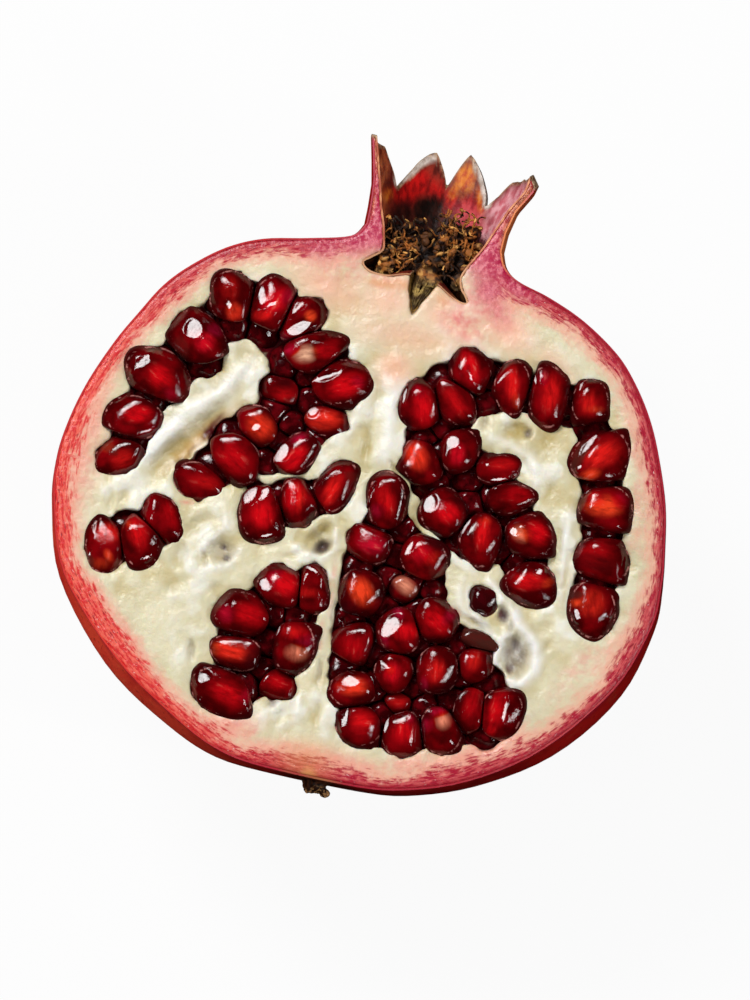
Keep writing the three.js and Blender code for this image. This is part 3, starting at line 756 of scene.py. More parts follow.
# Where the pith is lumpy, where it lay torn between chambers: x, y, length, width and turn.
LUMPY = [
    (-29, 9, 38, 10, 53), (-1, 15, 20, 7, 90), (24, 15, 16, 10, 150), (33.4, 1, 28, 4, 88),
    (-4, -33, 10, 9, 0), (-22, -9, 18, 8, 50), (27, -13, 14, 9, 100), (-5, -5, 12, 7, 30),
    (14, -2, 16, 3, 155),
]
# Painted shade: near-black spots in the deepest hollows: x, y, length, width, turn and strength.
PAINTED_SHADE_SPOTS = [
    (26, -10.8, 2, 1.6, 110, 1), (28.8, -15, 2.8, 1.6, 100, 0.6), (28.8, -18.7, 2, 1.6, 80, 0.6),
    (30.5, -17.3, 3, 1.4, 100, 0.3), (-4.6, -6, 4, 2.2, 40, 0.9), (-20, -9.3, 1.2, 1, 0, 0.8),
    (-19.2, -10.9, 1.4, 1, 30, 0.7), (24, 18.6, 1.6, 1.4, 90, 0.5), (22.4, -12.6, 4, 1, 165, 0.4),
]
WELL_SIZE = 0.94
WELL_MOUTH = 5
WELL_GRID = 0.5
TOUCHING = 1.6
# The space between two seeds that touch: its width as a share of theirs, its other width as
# a share of that, and its top.
PASSAGE = (0.85, 0.8, 0.5)
FLESH_DETAIL = (128, 4, 10)
MOST_RAISED = 0.55
DIP_BY_SEEDS = 0.12
HOLLOW_RAG = 0.12
LUMPS = [(3, 11, 0.42), (1.6, 12, 0.28), (0.8, 13, 0.08)]  # size, random seed and height
FULL_FOLD = 0.45
TORN_BY_SEEDS = 0.35
FIBRE_RADIUS = 45


def half_width(seed, x, y):
    """The seed's half width towards a point."""
    return math.hypot(x - seed[0], y - seed[1]) / max(oval(np.array([[x, y]]), *seed[:5])[0], 1e-6)


def join(pieces, name):
    activate(pieces[0])
    for piece in pieces:
        piece.select_set(True)
    bpy.ops.object.join()
    pieces[0].name = name
    return pieces[0]


def beside(points, line):
    """Each point's distance from a line of straight runs, and how far along it that is."""
    line = np.array(line, float)
    best, along = np.full(len(points), 1e9), np.zeros(len(points))
    for i, (a, b) in enumerate(zip(line, line[1:])):
        run = b - a
        share = np.clip((points[:, :2] - a) @ run / (run @ run), 0, 1)
        away = np.hypot(*(points[:, :2] - a - share[:, None] * run).T)
        along = np.where(away < best, (i + share) / (len(line) - 1), along)
        best = np.minimum(away, best)
    return best, along


def wall(line):
    """An upright wall of pith: a grid drawn out along its line, with ends that taper."""
    smooth = through(line, 6)
    ways = np.gradient(smooth[:, :2], axis=0)
    ways /= np.hypot(*ways.T)[:, None]
    side = np.stack([-ways[:, 1], ways[:, 0]], 1) * smooth[:, 2:] / 2
    rings = []
    for middle, across in zip(smooth[:, :2], side):
        corners = ((-1, WALL_FOOT), (1, WALL_FOOT), (1, CUT_HEIGHT), (-1, CUT_HEIGHT))
        rings += [(*(middle + across * i), z) for i, z in corners]
    count = len(smooth)
    sides = [(4 * i + k, 4 * i + (k + 1) % 4, 4 * i + 4 + (k + 1) % 4, 4 * i + 4 + k)
             for i in range(count - 1) for k in range(4)]
    mesh = bpy.data.meshes.new("wall")
    mesh.from_pydata([tuple(c * MM for c in p) for p in rings], [],
                     [(3, 2, 1, 0), *sides, tuple(4 * count - 4 + k for k in range(4))])
    made = bpy.data.objects.new("wall", mesh)
    bpy.context.scene.collection.objects.link(made)
    return made


def pressed_hollow(x, y, length, width, turn, top):
    """What a seed takes out of the pith: its own shape, open upwards."""
    depth = width * SEED_DEPTH
    middle = CUT_HEIGHT + top - depth / 2
    hollow = ball(x, y, middle, length * WELL_SIZE, width * WELL_SIZE, depth * WELL_SIZE, turn)
    points = points_of(hollow)
    points[points[:, 2] > middle, 2] += WELL_MOUTH
    move_points(hollow, points)
    return hollow


hollows = [pressed_hollow(*seed) for seed in SEEDS]
for one, two in [pair for seeds in CHAMBERS.values() for pair in itertools.combinations(seeds, 2)]:
    gap = math.hypot(one[0] - two[0], one[1] - two[1])
    reach = half_width(one, *two[:2]) + half_width(two, *one[:2])
    if gap < reach + TOUCHING:
        share = half_width(one, *two[:2]) / reach
        x, y = (one[k] + (two[k] - one[k]) * share for k in (0, 1))
        across = min(one[3], two[3]) * PASSAGE[0]
        turn = math.degrees(math.atan2(two[1] - one[1], two[0] - one[0])) + 90
        hollows.append(pressed_hollow(x, y, across, across * PASSAGE[1], turn, PASSAGE[2]))
wells = join(hollows, "wells")
apply(wells, "REMESH", mode="VOXEL", voxel_size=WELL_GRID * MM)

flesh = whole_fruit(*FLESH_DETAIL)
within = marks(flesh, "inside")
outside = [tuple(f.vertices) for f in flesh.data.polygons if max(within[k] for k in f.vertices) < 0.5]
fruit_surface = BVHTree.FromPolygons(points_of(flesh).tolist(), outside)
apply(flesh, "DISPLACE", strength=-FLESH_INSET * MM, mid_level=0)
cut(flesh, FLESH_INSET, above=False)
cut(flesh, CUT_HEIGHT, above=True)
apart(flesh, wells)
apart(flesh, style_channel())
flesh = join([flesh, *(wall(line) for line in WALLS)], "rind_pith")
apply(flesh, "REMESH", mode="VOXEL", voxel_size=FLESH_GRID * MM, use_smooth_shade=True)
apply(flesh, "SMOOTH", factor=0.5, iterations=3)
hidden = flesh.vertex_groups.new(name="hidden")
deep = CUT_HEIGHT - points_of(flesh)[:, 2]
for weight, those in ((1, deep > SEEN_DEPTH), (0, deep <= SEEN_DEPTH)):
    hidden.add(np.flatnonzero(those).tolist(), weight, "REPLACE")
apply(flesh, "DECIMATE", ratio=KEPT_SHARE, vertex_group="hidden")

points = points_of(flesh)
spread = np.min([(oval(points, *seed[:5]) - 1) * (seed[2] + seed[3]) / 4 for seed in SEEDS], axis=0)
depth = np.array([fruit_surface.find_nearest(p)[3] or 0 for p in points])
on_top = eased(points[:, 2], CUT_HEIGHT - 1.6, CUT_HEIGHT - 0.5)
olive, grey, raised = np.zeros(len(points)), np.zeros(len(points)), np.zeros(len(points))
wobble = grain(points, 1.6, 3) * HOLLOW_RAG
for x, y, length, width, turn, deep, olive_share, grey_share in HOLLOWS:
    share = eased(oval(points, x, y, length, width, turn) + wobble, 1.25, 0.2)
    raised -= share * deep
    olive = np.maximum(olive, share * olive_share)
    grey = np.maximum(grey, share * grey_share)
fold = np.zeros(len(points))
for line, width, height in FOLDS:
    away, along = beside(points, line)
    share = np.exp(-((away + grain(points, 3, 5) * width * 0.3) / width) ** 2)
    share *= eased(np.abs(along - 0.5), 0.5, 0.3)
    raised += share * height
    fold = np.maximum(fold, share * height / FULL_FOLD)
inner = eased(depth, 2, 8)
relief = inner * (grain(points, 4, 1) * 0.2 + grain(points, 1.9, 2) * 0.13 + grain(points, 0.95, 4) * 0.05)
relief *= 0.8 + 0.4 * eased(spread, 8, 2)
lumpy = np.max([eased(oval(points, *spot), 1.15, 0.7) for spot in LUMPY], axis=0) * inner
for size, seed, height in LUMPS:
    relief += lumpy * grain(points, size, seed) * height
raised += relief
raised -= eased(spread, 1, 0) * DIP_BY_SEEDS
points[:, 2] += np.minimum(raised, MOST_RAISED) * on_top * eased(depth, 0.4, 1.6)
torn = np.stack([grain(points * (1, 1, 0.4), 1.2, 21), grain(points * (1, 1, 0.4), 1.2, 22)], 1)
points[:, :2] += torn * (eased(spread, 1.4, 0.2) * on_top)[:, None] * TORN_BY_SEEDS
move_points(flesh, points)
finish_marks = {
    "by_seeds": spread, "under_skin": depth, "below_cut": CUT_HEIGHT - points[:, 2],
    "olive": olive * on_top, "grey": grey * on_top, "fold": fold * on_top,
    "relief": relief * on_top * eased(spread, 9, 4),
    "around": np.arctan2(points[:, 1], points[:, 0]) * FIBRE_RADIUS,
    "warm": eased(points[:, 0], 8, -30) * eased(points[:, 1], 44, 10),
    "neck": eased(points[:, 1] + grain(points, 3, 9) * 0.8, 39.5, 44.5),
    "dark": spotted(points, PAINTED_SHADE_SPOTS, 1.3, 0.3) * on_top,
}
for name, values in finish_marks.items():
    mark(flesh, name, values)
x, y, turn, _, width, _ = STYLE
along = Vector((math.cos(math.radians(turn)), math.sin(math.radians(turn))))
off = np.abs((points[:, 0] - x) * along.y - (points[:, 1] - y) * along.x)
mark(flesh, "channel", eased(CUT_HEIGHT - points[:, 2], 0.1, 0.7) * (off < width) * (points[:, 1] > y - 1))
for name, spots in BLOTS.items():
    mark(flesh, name, spotted(points, spots, 1.2, 0))

material, tree, shader = new_finish("moist pith")
patches = speckle(tree, 6, 3)
fine = speckle(tree, 1.4, 4, shift=6)
clouds = speckle(tree, 7, 3, shift=12)
mottle = speckle(tree, 0.7, 5, (1, 1.25, 1), 14, 0.62)
# The red band under the skin: fibres that run along it make its depth uneven.
depthwise = sums(tree, "MULTIPLY", marked(tree, "under_skin"), 2)
along = put(tree, "CombineXYZ", {0: marked(tree, "around"), 1: depthwise}).outputs[0]
streaks = put(tree, "Mapping", {"Vector": along, "Scale": (0.4, 1, 1)}).outputs[0]
fibres = noise(tree, along, 0.5, 5, 0.6)
flecks, torn = noise(tree, streaks, 1.3, 4, 0.6), noise(tree, streaks, 2, 3, 0.6)
painted_glints = noise(tree, streaks, 2.6, 2, 0.5)
band = marked(tree, "under_skin")
for part, reach in ((fibres, 4), (clouds, 4), (marked(tree, "blush"), 1.4)):
    band = sums(tree, "SUBTRACT", band, sums(tree, "MULTIPLY", part, reach))
mauve = layers(
    tree, (0.54, 0.05, 0.11),
    ((0.76, 0.20, 0.25), (mottle, 0.36, 0.64)),
    ((0.46, 0.02, 0.07), (speckle(tree, 0.3, 3, (1, 1.3, 1), 8), 0.56, 0.66, (0, 0.6))),
    ((0.46, 0.006, 0.06), ("under_skin", 3.4, 0.4), (mottle, 0.58, 0.44)),
)
groove = speckle(tree, 0.5, 3, (0.6, 5, 1), 2)
colour = layers(
    tree, (0.70, 0.64, 0.42),
    ((0.775, 0.715, 0.50), (patches, 0.35, 0.65)),
    # painted shade in the dips of the relief and painted highlight on its bumps
    ((0.62, 0.52, 0.27), ("relief", -0.02, -0.22), 0.8),
    ((0.87, 0.845, 0.72), ("relief", 0.03, 0.24)),
    # whiter along the raised folds: partly the pith's own white, partly painted highlight on their crests
    ((0.92, 0.905, 0.85), "fold", 0.88),
    # olive: partly the pith's own yellow, partly painted shade in the hollows and dips
    ((0.46, 0.35, 0.12), "olive", (fine, 0.2, 0.6, (0.55, 0.95)), ("relief", 0.2, -0.2, (0.25, 1))),
    # painted shade: grey in the deeper hollows
    (layers(tree, (0.22, 0.17, 0.15), ((0.42, 0.38, 0.34), (fine, 0.35, 0.6))), "grey", 0.85),
    # painted shade in the deepest hollows
    ((0.10, 0.055, 0.055), "dark"),
    ((0.93, 0.50, 0.36), "peach", (patches, 0.2, 0.7, (0.7, 1))),
    ((0.80, 0.25, 0.22), "blush", (fine, 0.25, 0.7)),
    ((0.86, 0.38, 0.28), (band, 1.2, -1.6), 0.8),
    (layers(tree, (0.60, 0.032, 0.058), ((0.86, 0.085, 0.055), "warm")), (band, -1.3, -2.9), 0.85),
    (layers(tree, (0.42, 0.002, 0.026), ((0.70, 0.022, 0.024), "warm")),
     (flecks, 0.45, 0.57), (band, -0.9, -2.3)),
    ((0.24, 0.002, 0.012), (torn, 0.57, 0.63, (0, 0.8)), (band, -1.4, -3), (clouds, 0.4, 0.56)),
    # painted glints: pale flecks on the red band
    ((0.92, 0.66, 0.60), (painted_glints, 0.68, 0.73), (band, -1.4, -2.4)),
    ((0.38, 0.006, 0.022), ("under_skin", 1.2, 0.3), ("warm", 0.7, 0.1, (0, 0.75))),
    (mauve, "neck"),
    (mauve, "mauve"),
    (layers(tree, (0.30, 0.05, 0.02), ((0.76, 0.26, 0.10), (mottle, 0.36, 0.6))), "ruddy"),
    ((0.76, 0.36, 0.12), "tan", (fine, 0.2, 0.5, (0.7, 1))),
    (layers(tree, (0.05, 0.02, 0.006), ((0.36, 0.20, 0.05), (groove, 0.4, 0.62))), "channel"),
    # dark red down beside the seeds: partly juice stain, partly painted shade in the hollows
    ((0.10, 0.002, 0.006), ("by_seeds", 1.2, 0.3), ("below_cut", 0.5, 1.6)),
)
tree.links.new(colour, shader.inputs["Base Color"])
shader.inputs["Roughness"].default_value = 0.34
shader.inputs["Subsurface Weight"].default_value = 0.25
shader.inputs["Subsurface Radius"].default_value = (1.0, 0.6, 0.3)
shader.inputs["Subsurface Scale"].default_value = 0.8 * MM
roughen(tree, shader, speckle(tree, 1.1, 5), 0.22)
flesh.data.materials.clear()
flesh.data.materials.append(material)
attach(flesh, "root")
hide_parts("rind")


# ---- Arils ----------------------------------------------------------------------------
# The seeds in their juice sacs: glassy, dark red, pressed flat against each other. The glow where
# light comes through the juice is painted into their colour. They sit loosely in the hollows of the pith.

# Painted glow, standing for light that comes through the juice: x, y, length, width, turn,
# strength, and warmth from -1, magenta, through 0, red, and 1, orange, to 2, peach.
PAINTED_GLOWS = [
    (-26.1, 27.8, 3.4, 2.8, 110, 0.7, 0.7), (-27.6, 31.6, 5, 3, 105, 0.25, 0.4),
    (-20.2, 30.9, 5.5, 4, 60, 0.95, -0.1), (-18.1, 32.2, 3, 2.4, 60, 0.6, -1),
    (-21.4, 28.4, 3.4, 2, 20, 0.9, 0.3), (-14.1, 29.8, 2, 2, 0, 0.8, 1),
    (-17.6, 25.2, 3.6, 2.2, 150, 0.7, -1), (-13.6, 23.6, 4, 2.8, 20, 1.1, 2),
    (-10.6, 24.8, 4, 2.6, 20, 0.55, 0), (-16.2, 23.8, 3, 1.8, 20, 0.8, -0.8),
    (-6.1, 20.1, 6.4, 3.8, 30, 1, 0), (-4.4, 20.9, 2, 2.4, 70, 0.6, -0.8), (-8.6, 14.1, 6, 3.4, 10, 0.9, 0.6),
    (-15.2, 16.6, 4.6, 3, 170, 0.45, 0.1), (-18.2, 10.8, 5, 4, 150, 0.85, 0.7),
    (-21.3, 4.9, 6.6, 4.4, 145, 0.55, 0), (-11.8, 6.9, 5.4, 3, 55, 1, 0),
    (-11.8, 10.2, 3, 2.2, 30, 0.7, -0.9), (-25, 0.2, 5.6, 2.4, 177, 0.4, 0.2),
    (-29.7, 22.1, 3.4, 3.2, 60, 1, -0.2), (-28.4, 24.6, 2.4, 3, 90, 0.5, -1),
    (-35.5, 15.3, 5, 4, 160, 0.75, 0), (-33, 12.6, 4, 1.8, 150, 0.35, -0.8),
    (-37.8, 8.6, 5, 2.8, 15, 0.95, 0), (-38.8, 1.2, 4.4, 3.2, 200, 0.5, 0.3),
    (-41.6, 2.6, 2, 2.4, 90, 0.35, 0.9), (-38.6, -11, 3.4, 5, 275, 0.75, 0.4),
    (-37.6, -14.6, 2.4, 1.4, 130, 0.6, 0.9), (-39.4, -16.2, 5, 2, 10, 0.35, 0.9),
    (-33.9, -9.9, 5.6, 3.2, 298, 0.85, 0.1), (-35.4, -9, 1.8, 1.2, 300, 0.5, 1.2),
    (-29.6, -5.9, 4.6, 3, 300, 0.45, 0), (-15, -3, 5, 4, 290, 0.95, 0), (-10.4, 0.8, 5.4, 3.6, 285, 0.95, 0),
    (-9.4, 0.6, 1.6, 4, 0, 0.4, 1.4), (-12.6, 1.4, 2.4, 2.6, 0, 0.5, -0.9), (-4.8, 3.2, 5.6, 2.6, 75, 1, 0.3),
    (-9.1, -13.1, 4.6, 4, 155, 1, 0), (-11, -12.6, 2, 3.6, 150, 0.6, -0.7),
    (-5.6, -13.8, 1.8, 5, 100, 0.4, 0.3), (-13.8, -19.2, 5.4, 3.6, 170, 0.75, 0),
    (-17.3, -19.8, 3, 3, 0, 0.6, -0.6), (-15.4, -25.4, 7, 3, 178, 0.85, 0.6),
    (-18, -25.6, 2, 2.4, 0, 0.6, 1.5), (-14.2, -32.2, 6.6, 3.8, 172, 0.65, 0),
    (-11.2, -32, 2.4, 3, 172, 0.4, -0.9), (-4.9, -23.6, 3.8, 2.8, 10, 1, 1.4),
    (-5.5, -20.5, 4.4, 2.4, 0, 0.65, 0.2), (-3.4, -21.2, 2.4, 4.6, 100, 0.45, -1),
    (-7.2, -28.7, 4.8, 2.8, 352, 0.5, 0), (4, 3.2, 5.2, 3.2, 110, 0.7, 0.1),
    (3, 1.4, 2.4, 2.8, 110, 0.4, -0.8), (3.1, -4, 4.8, 3.2, 175, 0.85, -0.5),
    (11.2, -3.8, 4, 3.4, 320, 0.7, -0.2), (13, -4.4, 2, 3, 320, 0.35, 0.6), (3.2, -11.9, 5, 3.6, 130, 1, 0.9),
    (9.6, -9.3, 4.4, 2.8, 155, 1, 1.6), (8.4, -8.4, 2, 1.8, 155, 0.5, 2), (15.8, -13.9, 5.2, 4, 150, 0.7, 0),
    (18, -12.4, 2, 4.4, 150, 0.5, -1), (12.8, -10.9, 4, 1.8, 10, 0.5, -1),
    (11.7, -16.6, 2.8, 5, 110, 0.95, 0), (9.4, -13.6, 3.4, 1.8, 120, 0.6, -1),
    (8.4, -18.8, 2.8, 1.6, 110, 0.5, -0.9), (3.7, -20.8, 4.6, 4.2, 95, 0.45, 0),
    (17.5, -21.9, 4.4, 3.2, 100, 0.7, 0.3), (16, -24.6, 3, 1.6, 100, 0.4, -1),
    (10.7, -23.6, 3.8, 3.2, 100, 0.9, -0.1), (10.3, -23.2, 1.4, 1.4, 0, 0.5, 1.2),
    (22.9, -19, 3.4, 2.6, 90, 0.55, 0.5), (4.9, -27, 5, 3, 10, 1, 0.7), (7.6, -32.2, 4, 3.8, 15, 0.85, 0.1),
    (14.5, -32.3, 3.8, 4.4, 100, 0.85, 0), (14.9, -30.2, 1.6, 1.8, 0, 0.6, -0.8),
    (17.3, -30.6, 2.6, 3, 110, 0.4, -1), (20.1, -29.3, 3, 2.6, 110, 1, 1.5), (19, -28, 3, 1.8, 20, 0.7, -0.8),
    (23.8, -25.4, 6, 2.6, 85, 0.4, 0), (28.1, -25.6, 6, 2.6, 85, 0.85, 0), (28, -29.2, 2.2, 1.8, 80, 0.6, 0),
    (22, -8.8, 2.6, 1.6, 310, 0.45, -0.6), (12.4, -27.6, 3.6, 2.4, 10, 0.4, 0.3),
    (6.8, 19, 6, 3.4, 115, 0.85, 0), (5.4, 21.4, 2.6, 2, 120, 0.5, -0.4),
    (11.4, 21.1, 6.4, 2.6, 137, 0.5, 0.1), (12.8, 27, 5.6, 2.8, 122, 0.95, 0),
    (19.9, 25.6, 6.6, 2.4, 105, 0.9, 0.2), (20.8, 23.4, 3.4, 1.6, 110, 0.6, 1),
    (26.2, 25.4, 6.4, 3.2, 98, 0.85, 0.2), (24.6, 27.6, 3, 1.8, 110, 0.5, -0.7),
    (32.4, 25.2, 4.2, 3, 98, 0.65, 0.3), (33.4, 24.4, 1.4, 3.4, 100, 0.4, 1.1),
    (36.2, 17.4, 6.6, 4, 45, 0.95, 0.4), (35, 14, 3.6, 2, 30, 0.7, 0.9), (38.2, 9.5, 6, 3.6, 10, 1, 0.9),
    (36.6, 10.2, 3.6, 2.4, 0, 0.6, 0.2), (40.6, 11, 3, 3, 60, 0.35, -0.7), (38.6, 1.4, 6.6, 4, 350, 0.3, 0.1),
    (39.4, -6.2, 4.6, 4.6, 288, 0.6, 0.6), (36.7, -6.6, 1.6, 3.4, 100, 0.7, 1),
    (39.4, -3.4, 5, 1.6, 0, 0.4, -1), (13.6, 12.8, 3.8, 2.6, 100, 0.9, -0.2),
    (7.1, 11.3, 5.2, 3.6, 130, 1, 0.7), (21.2, 12.8, 5.2, 2.2, 15, 0.5, 0.2),
    (24.4, 8.4, 5.6, 2.8, 16, 0.45, 0), (21, 7.8, 2.4, 1.6, 16, 0.6, 0.9), (14, 3.4, 3.8, 5, 100, 0.9, 0),
    (20.2, 1.4, 6.4, 2.8, 95, 0.9, 0.1), (20.2, 3.3, 2, 1.6, 0, 0.6, 1.1),
    (26.3, 2.4, 3.4, 2.8, 170, 1.1, 1.3), (28.8, 3.2, 4.6, 4, 170, 0.85, 0),
    (25.2, 4.8, 3.4, 1.8, 20, 0.7, -0.9), (28.8, -4.8, 5.4, 3, 15, 0.9, 0.1),
    (31.7, -4.4, 3, 1.6, 30, 0.5, 1),
]
# Flat spots that shine white in the light: x, y, length, width and turn.
SHINES = [
    (-27.2, 28.8, 2, 0.9, 110), (-22.4, 31.4, 3.2, 1.5, 100), (-20.4, 30.4, 1.6, 0.9, 25),
    (-15.6, 27.5, 4.2, 2.2, 38), (-16.4, 30.6, 2.6, 0.7, 60), (-11, 27, 1.4, 0.3, 80),
    (-17, 23.6, 2, 0.3, 40), (-9.6, 20.7, 6, 1.1, 32), (-10.6, 14.9, 1.8, 1.6, 60),
    (-18.9, 10.5, 1.6, 1.3, 70), (-14.1, 7.3, 3.6, 2.3, 62), (-31.7, 23.8, 3.4, 2.9, 100),
    (-39, 16.8, 4.4, 1.3, 60), (-41.2, 10.9, 2.2, 0.6, 50), (-36, 6.3, 2.6, 0.8, 25),
    (-40.6, -10.4, 5, 0.4, 95), (-40.7, -14.8, 1.2, 0.7, 90), (-36.1, -7.2, 1.7, 1.1, 20),
    (-31.7, -13.6, 1.6, 1, 40), (-33.9, -5.2, 1.2, 0.5, 20), (-17.5, -0.2, 3.6, 2.3, 70),
    (-15.2, 0.5, 2.4, 1.4, 70), (-13.5, -6.1, 2.6, 1, 22), (-14, 1.2, 1.2, 0.6, 110), (-6.6, 7, 3, 0.4, 38),
    (-4.5, 0, 1.6, 0.7, 30), (-12.3, -13.9, 2.2, 2, 150), (-5.6, -9.9, 3, 0.9, 165),
    (-3.4, -13, 4.6, 0.3, 100), (-17.6, -18.4, 1.4, 0.6, 20), (-18.5, -23.8, 1.6, 0.4, 50),
    (-18.8, -30.6, 2.4, 2, 60), (-18.6, -34, 0.8, 0.8, 0), (-11, -34.4, 1.2, 0.5, 45),
    (-8.8, -20.8, 2.6, 1, 75), (-8, -25, 1.8, 0.4, 140), (1.5, 3.8, 3.8, 0.45, 80), (6, -4.2, 2.4, 0.4, 95),
    (9.1, -3.6, 2.8, 1, 70), (7.6, -10.4, 2, 0.5, 115), (12.8, -13, 2.4, 0.4, 122),
    (8.8, -16.6, 4.4, 2.5, 65), (1.1, -17.7, 2.4, 0.7, 95), (14.6, -20.4, 3.6, 0.5, 98),
    (20.4, -22, 3, 0.35, 80), (9, -22.4, 2, 0.8, 155), (4.5, -26.4, 3, 1.6, 10), (1.7, -27, 3.4, 0.3, 105),
    (4.8, -32.2, 3.8, 1.2, 85), (11.3, -31.8, 3.2, 1.3, 85), (16.3, -29, 1.6, 0.7, 75),
    (14.9, -30, 0.9, 0.6, 0), (20.8, -33.2, 1, 0.4, 115), (29.5, -25.9, 4.4, 0.9, 95),
    (25.5, -25, 5, 0.25, 92), (22.9, -11.3, 2, 0.5, 160), (3.3, 20.8, 3.8, 0.8, 93),
    (9.4, 27.4, 3.4, 0.4, 105), (13.1, 25.4, 2.2, 0.6, 125), (17.3, 26, 4.6, 1.1, 98),
    (23, 27.8, 3.4, 0.8, 112), (30.7, 28.1, 2.8, 0.7, 85), (33.9, 18.8, 4.6, 1.2, 65),
    (33.1, 14.8, 1.6, 0.8, 70), (34.8, 11.4, 1.8, 1.2, 60), (43.1, 0.4, 3.6, 0.4, 85),
    (35.6, 3.6, 1.2, 0.4, 60), (37.6, -8.4, 2.4, 1.2, 110), (42.8, -6.6, 3, 0.6, 85),
    (12.5, 14.6, 2.4, 2.2, 0), (20.8, 10.3, 2.8, 0.8, 15), (23.5, 11.6, 1.4, 0.9, 30),
    (19.3, 8.1, 1.7, 0.7, 80), (25.8, 6.3, 3, 0.9, 38), (10.8, 4.1, 2.9, 2.1, 80), (16.9, 4.4, 2.2, 0.5, 75),
    (17.3, 1.6, 4, 0.7, 72), (24.9, 2.5, 1.7, 1.5, 60), (30.3, -2.9, 1.7, 1.2, 30),
    (25.8, -3.4, 1.4, 0.8, 20), (5.6, 14, 1.4, 0.4, 70), (6.6, 24.4, 1, 0.7, 50), (15.6, 1.6, 1.2, 0.4, 70),
]
# Where the juice is browned, as seen through the side of a seed, and painted shade where seeds
# lie low in the gaps between others: x, y, length, width, turn and strength.
SHADES = {
    "browned": [
        (23.2, -15.5, 8.4, 3.2, 168, 1), (32.7, 16.6, 6.4, 2, 80, 0.8), (-18.4, -17.6, 5, 1.4, 50, 0.7),
        (-9.6, -10.4, 6, 1, 20, 0.6), (-33.2, 20.6, 4, 2.4, 120, 0.35), (-41.4, 2.6, 1.8, 4, 60, 0.5),
        (36, -5.4, 1.6, 5, 100, 0.7), (-30.6, 13, 4.6, 3, 60, 0.5), (14.6, -7.4, 2, 5, 40, 0.5),
        (-1.6, 5.6, 2.2, 4, 70, 0.4), (-40.8, -15.8, 2, 3, 40, 0.6), (-25.6, 20.6, 3.4, 3, 40, 0.5),
    ],
    "darkened": [
        (22.4, -9.1, 7, 5, 310, 0.85), (8.7, 27.3, 4, 3, 120, 0.8), (7, 24.8, 3, 3, 120, 0.6),
        (4.2, 15.2, 4, 3, 90, 0.7), (7, -11, 4, 3, 90, 0.8), (12.6, -1.2, 5, 3, 150, 0.8),
        (20, -25, 5, 6, 90, 0.5), (-10.4, -26, 5, 6, 90, 0.7), (38.4, 0.4, 8, 3, 0, 0.5),
        (1.6, -15.6, 4, 4, 0, 0.6), (-16.4, 20.2, 6, 4, 120, 0.6), (-14, 15.4, 4, 3, 0, 0.6),
        (17, 6, 7, 5, 0, 0.6), (33.6, 21.4, 3, 1.6, 60, 0.9),
    ],
}
SEED_SQUARENESS = 2.3
SEED_FULLNESS = 1.12
FILL_TOWARDS_NEIGHBOURS = 0.36
NEIGHBOURS_WITHIN = 14
PRESS_GAP = 0.06
PRESS_SHARPNESS = 9
# Each seed's top is pressed flat at this share of its height, a few degrees askew, and its
# shoulders are flattened at these angles and shares of its reach.
CAP_HEIGHT = 0.85
CAP_TILT = (2, 12)
FACETS = 4
FACET_LEAN = (38, 60)
FACET_REACH = (0.93, 1.04)
FACET_SPREAD = 0.6
SEED_SPACING = 13  # how far apart the seeds' fibres are taken from their pattern
# The painted light in a seed, from the coldest to the warmest.
COLDEST_GLOW, WARMEST_GLOW = (0.40, 0.006, 0.035, 1), (0.88, 0.48, 0.30, 1)
MIDDLE_GLOWS = [
    (0.333, (0.62, 0.003, 0.007, 1)), (0.5, (0.74, 0.014, 0.010, 1)), (0.667, (0.84, 0.06, 0.015, 1)),
]
# Painted glows warmer than this are peach. The second and third say how far in from its edge
# a painted glow is at its brightest.
PEACH, PEACH_CORE, HEART_CORE = 1.2, -0.4, 0.15
# Which way the flat spots of the seeds lie, so that they mirror the window light.
SHINE_FACING = (-0.2146, 0.2051, 0.955)
random.seed(11)


def seed_middle(seed):
    return np.array([seed[0], seed[1], CUT_HEIGHT + seed[5] - seed[3] * SEED_DEPTH / 2])


def reach_towards(seed, way):
    """The seed's half size along a direction, before it is pressed."""
    a = math.radians(seed[4])
    local = [way[0] * math.cos(a) + way[1] * math.sin(a), way[1] * math.cos(a) - way[0] * math.sin(a), way[2]]
    half = [seed[2] / 2, seed[3] / 2, seed[3] * SEED_DEPTH / 2]
    return math.sqrt(sum((h * c) ** 2 for h, c in zip(half, local)))


def leaning(lean, towards):
    """A direction that leans away from straight up."""
    return np.array([math.sin(lean) * math.cos(towards), math.sin(lean) * math.sin(towards), math.cos(lean)])


def by_owner(spots):
    """Each seed's own spots: those that lie on it rather than on another."""
    middles = np.array([spot[:2] for spot in spots])
    owner = np.argmin([oval(middles, *seed[:5]) - 0.1 * seed[5] for seed in SEEDS], axis=0)
    return [[spot for spot, k in zip(spots, owner) if k == i] for i in range(len(SEEDS))]


OWN_PAINTED_GLOWS, OWN_SHINES = by_owner(PAINTED_GLOWS), by_owner(SHINES)


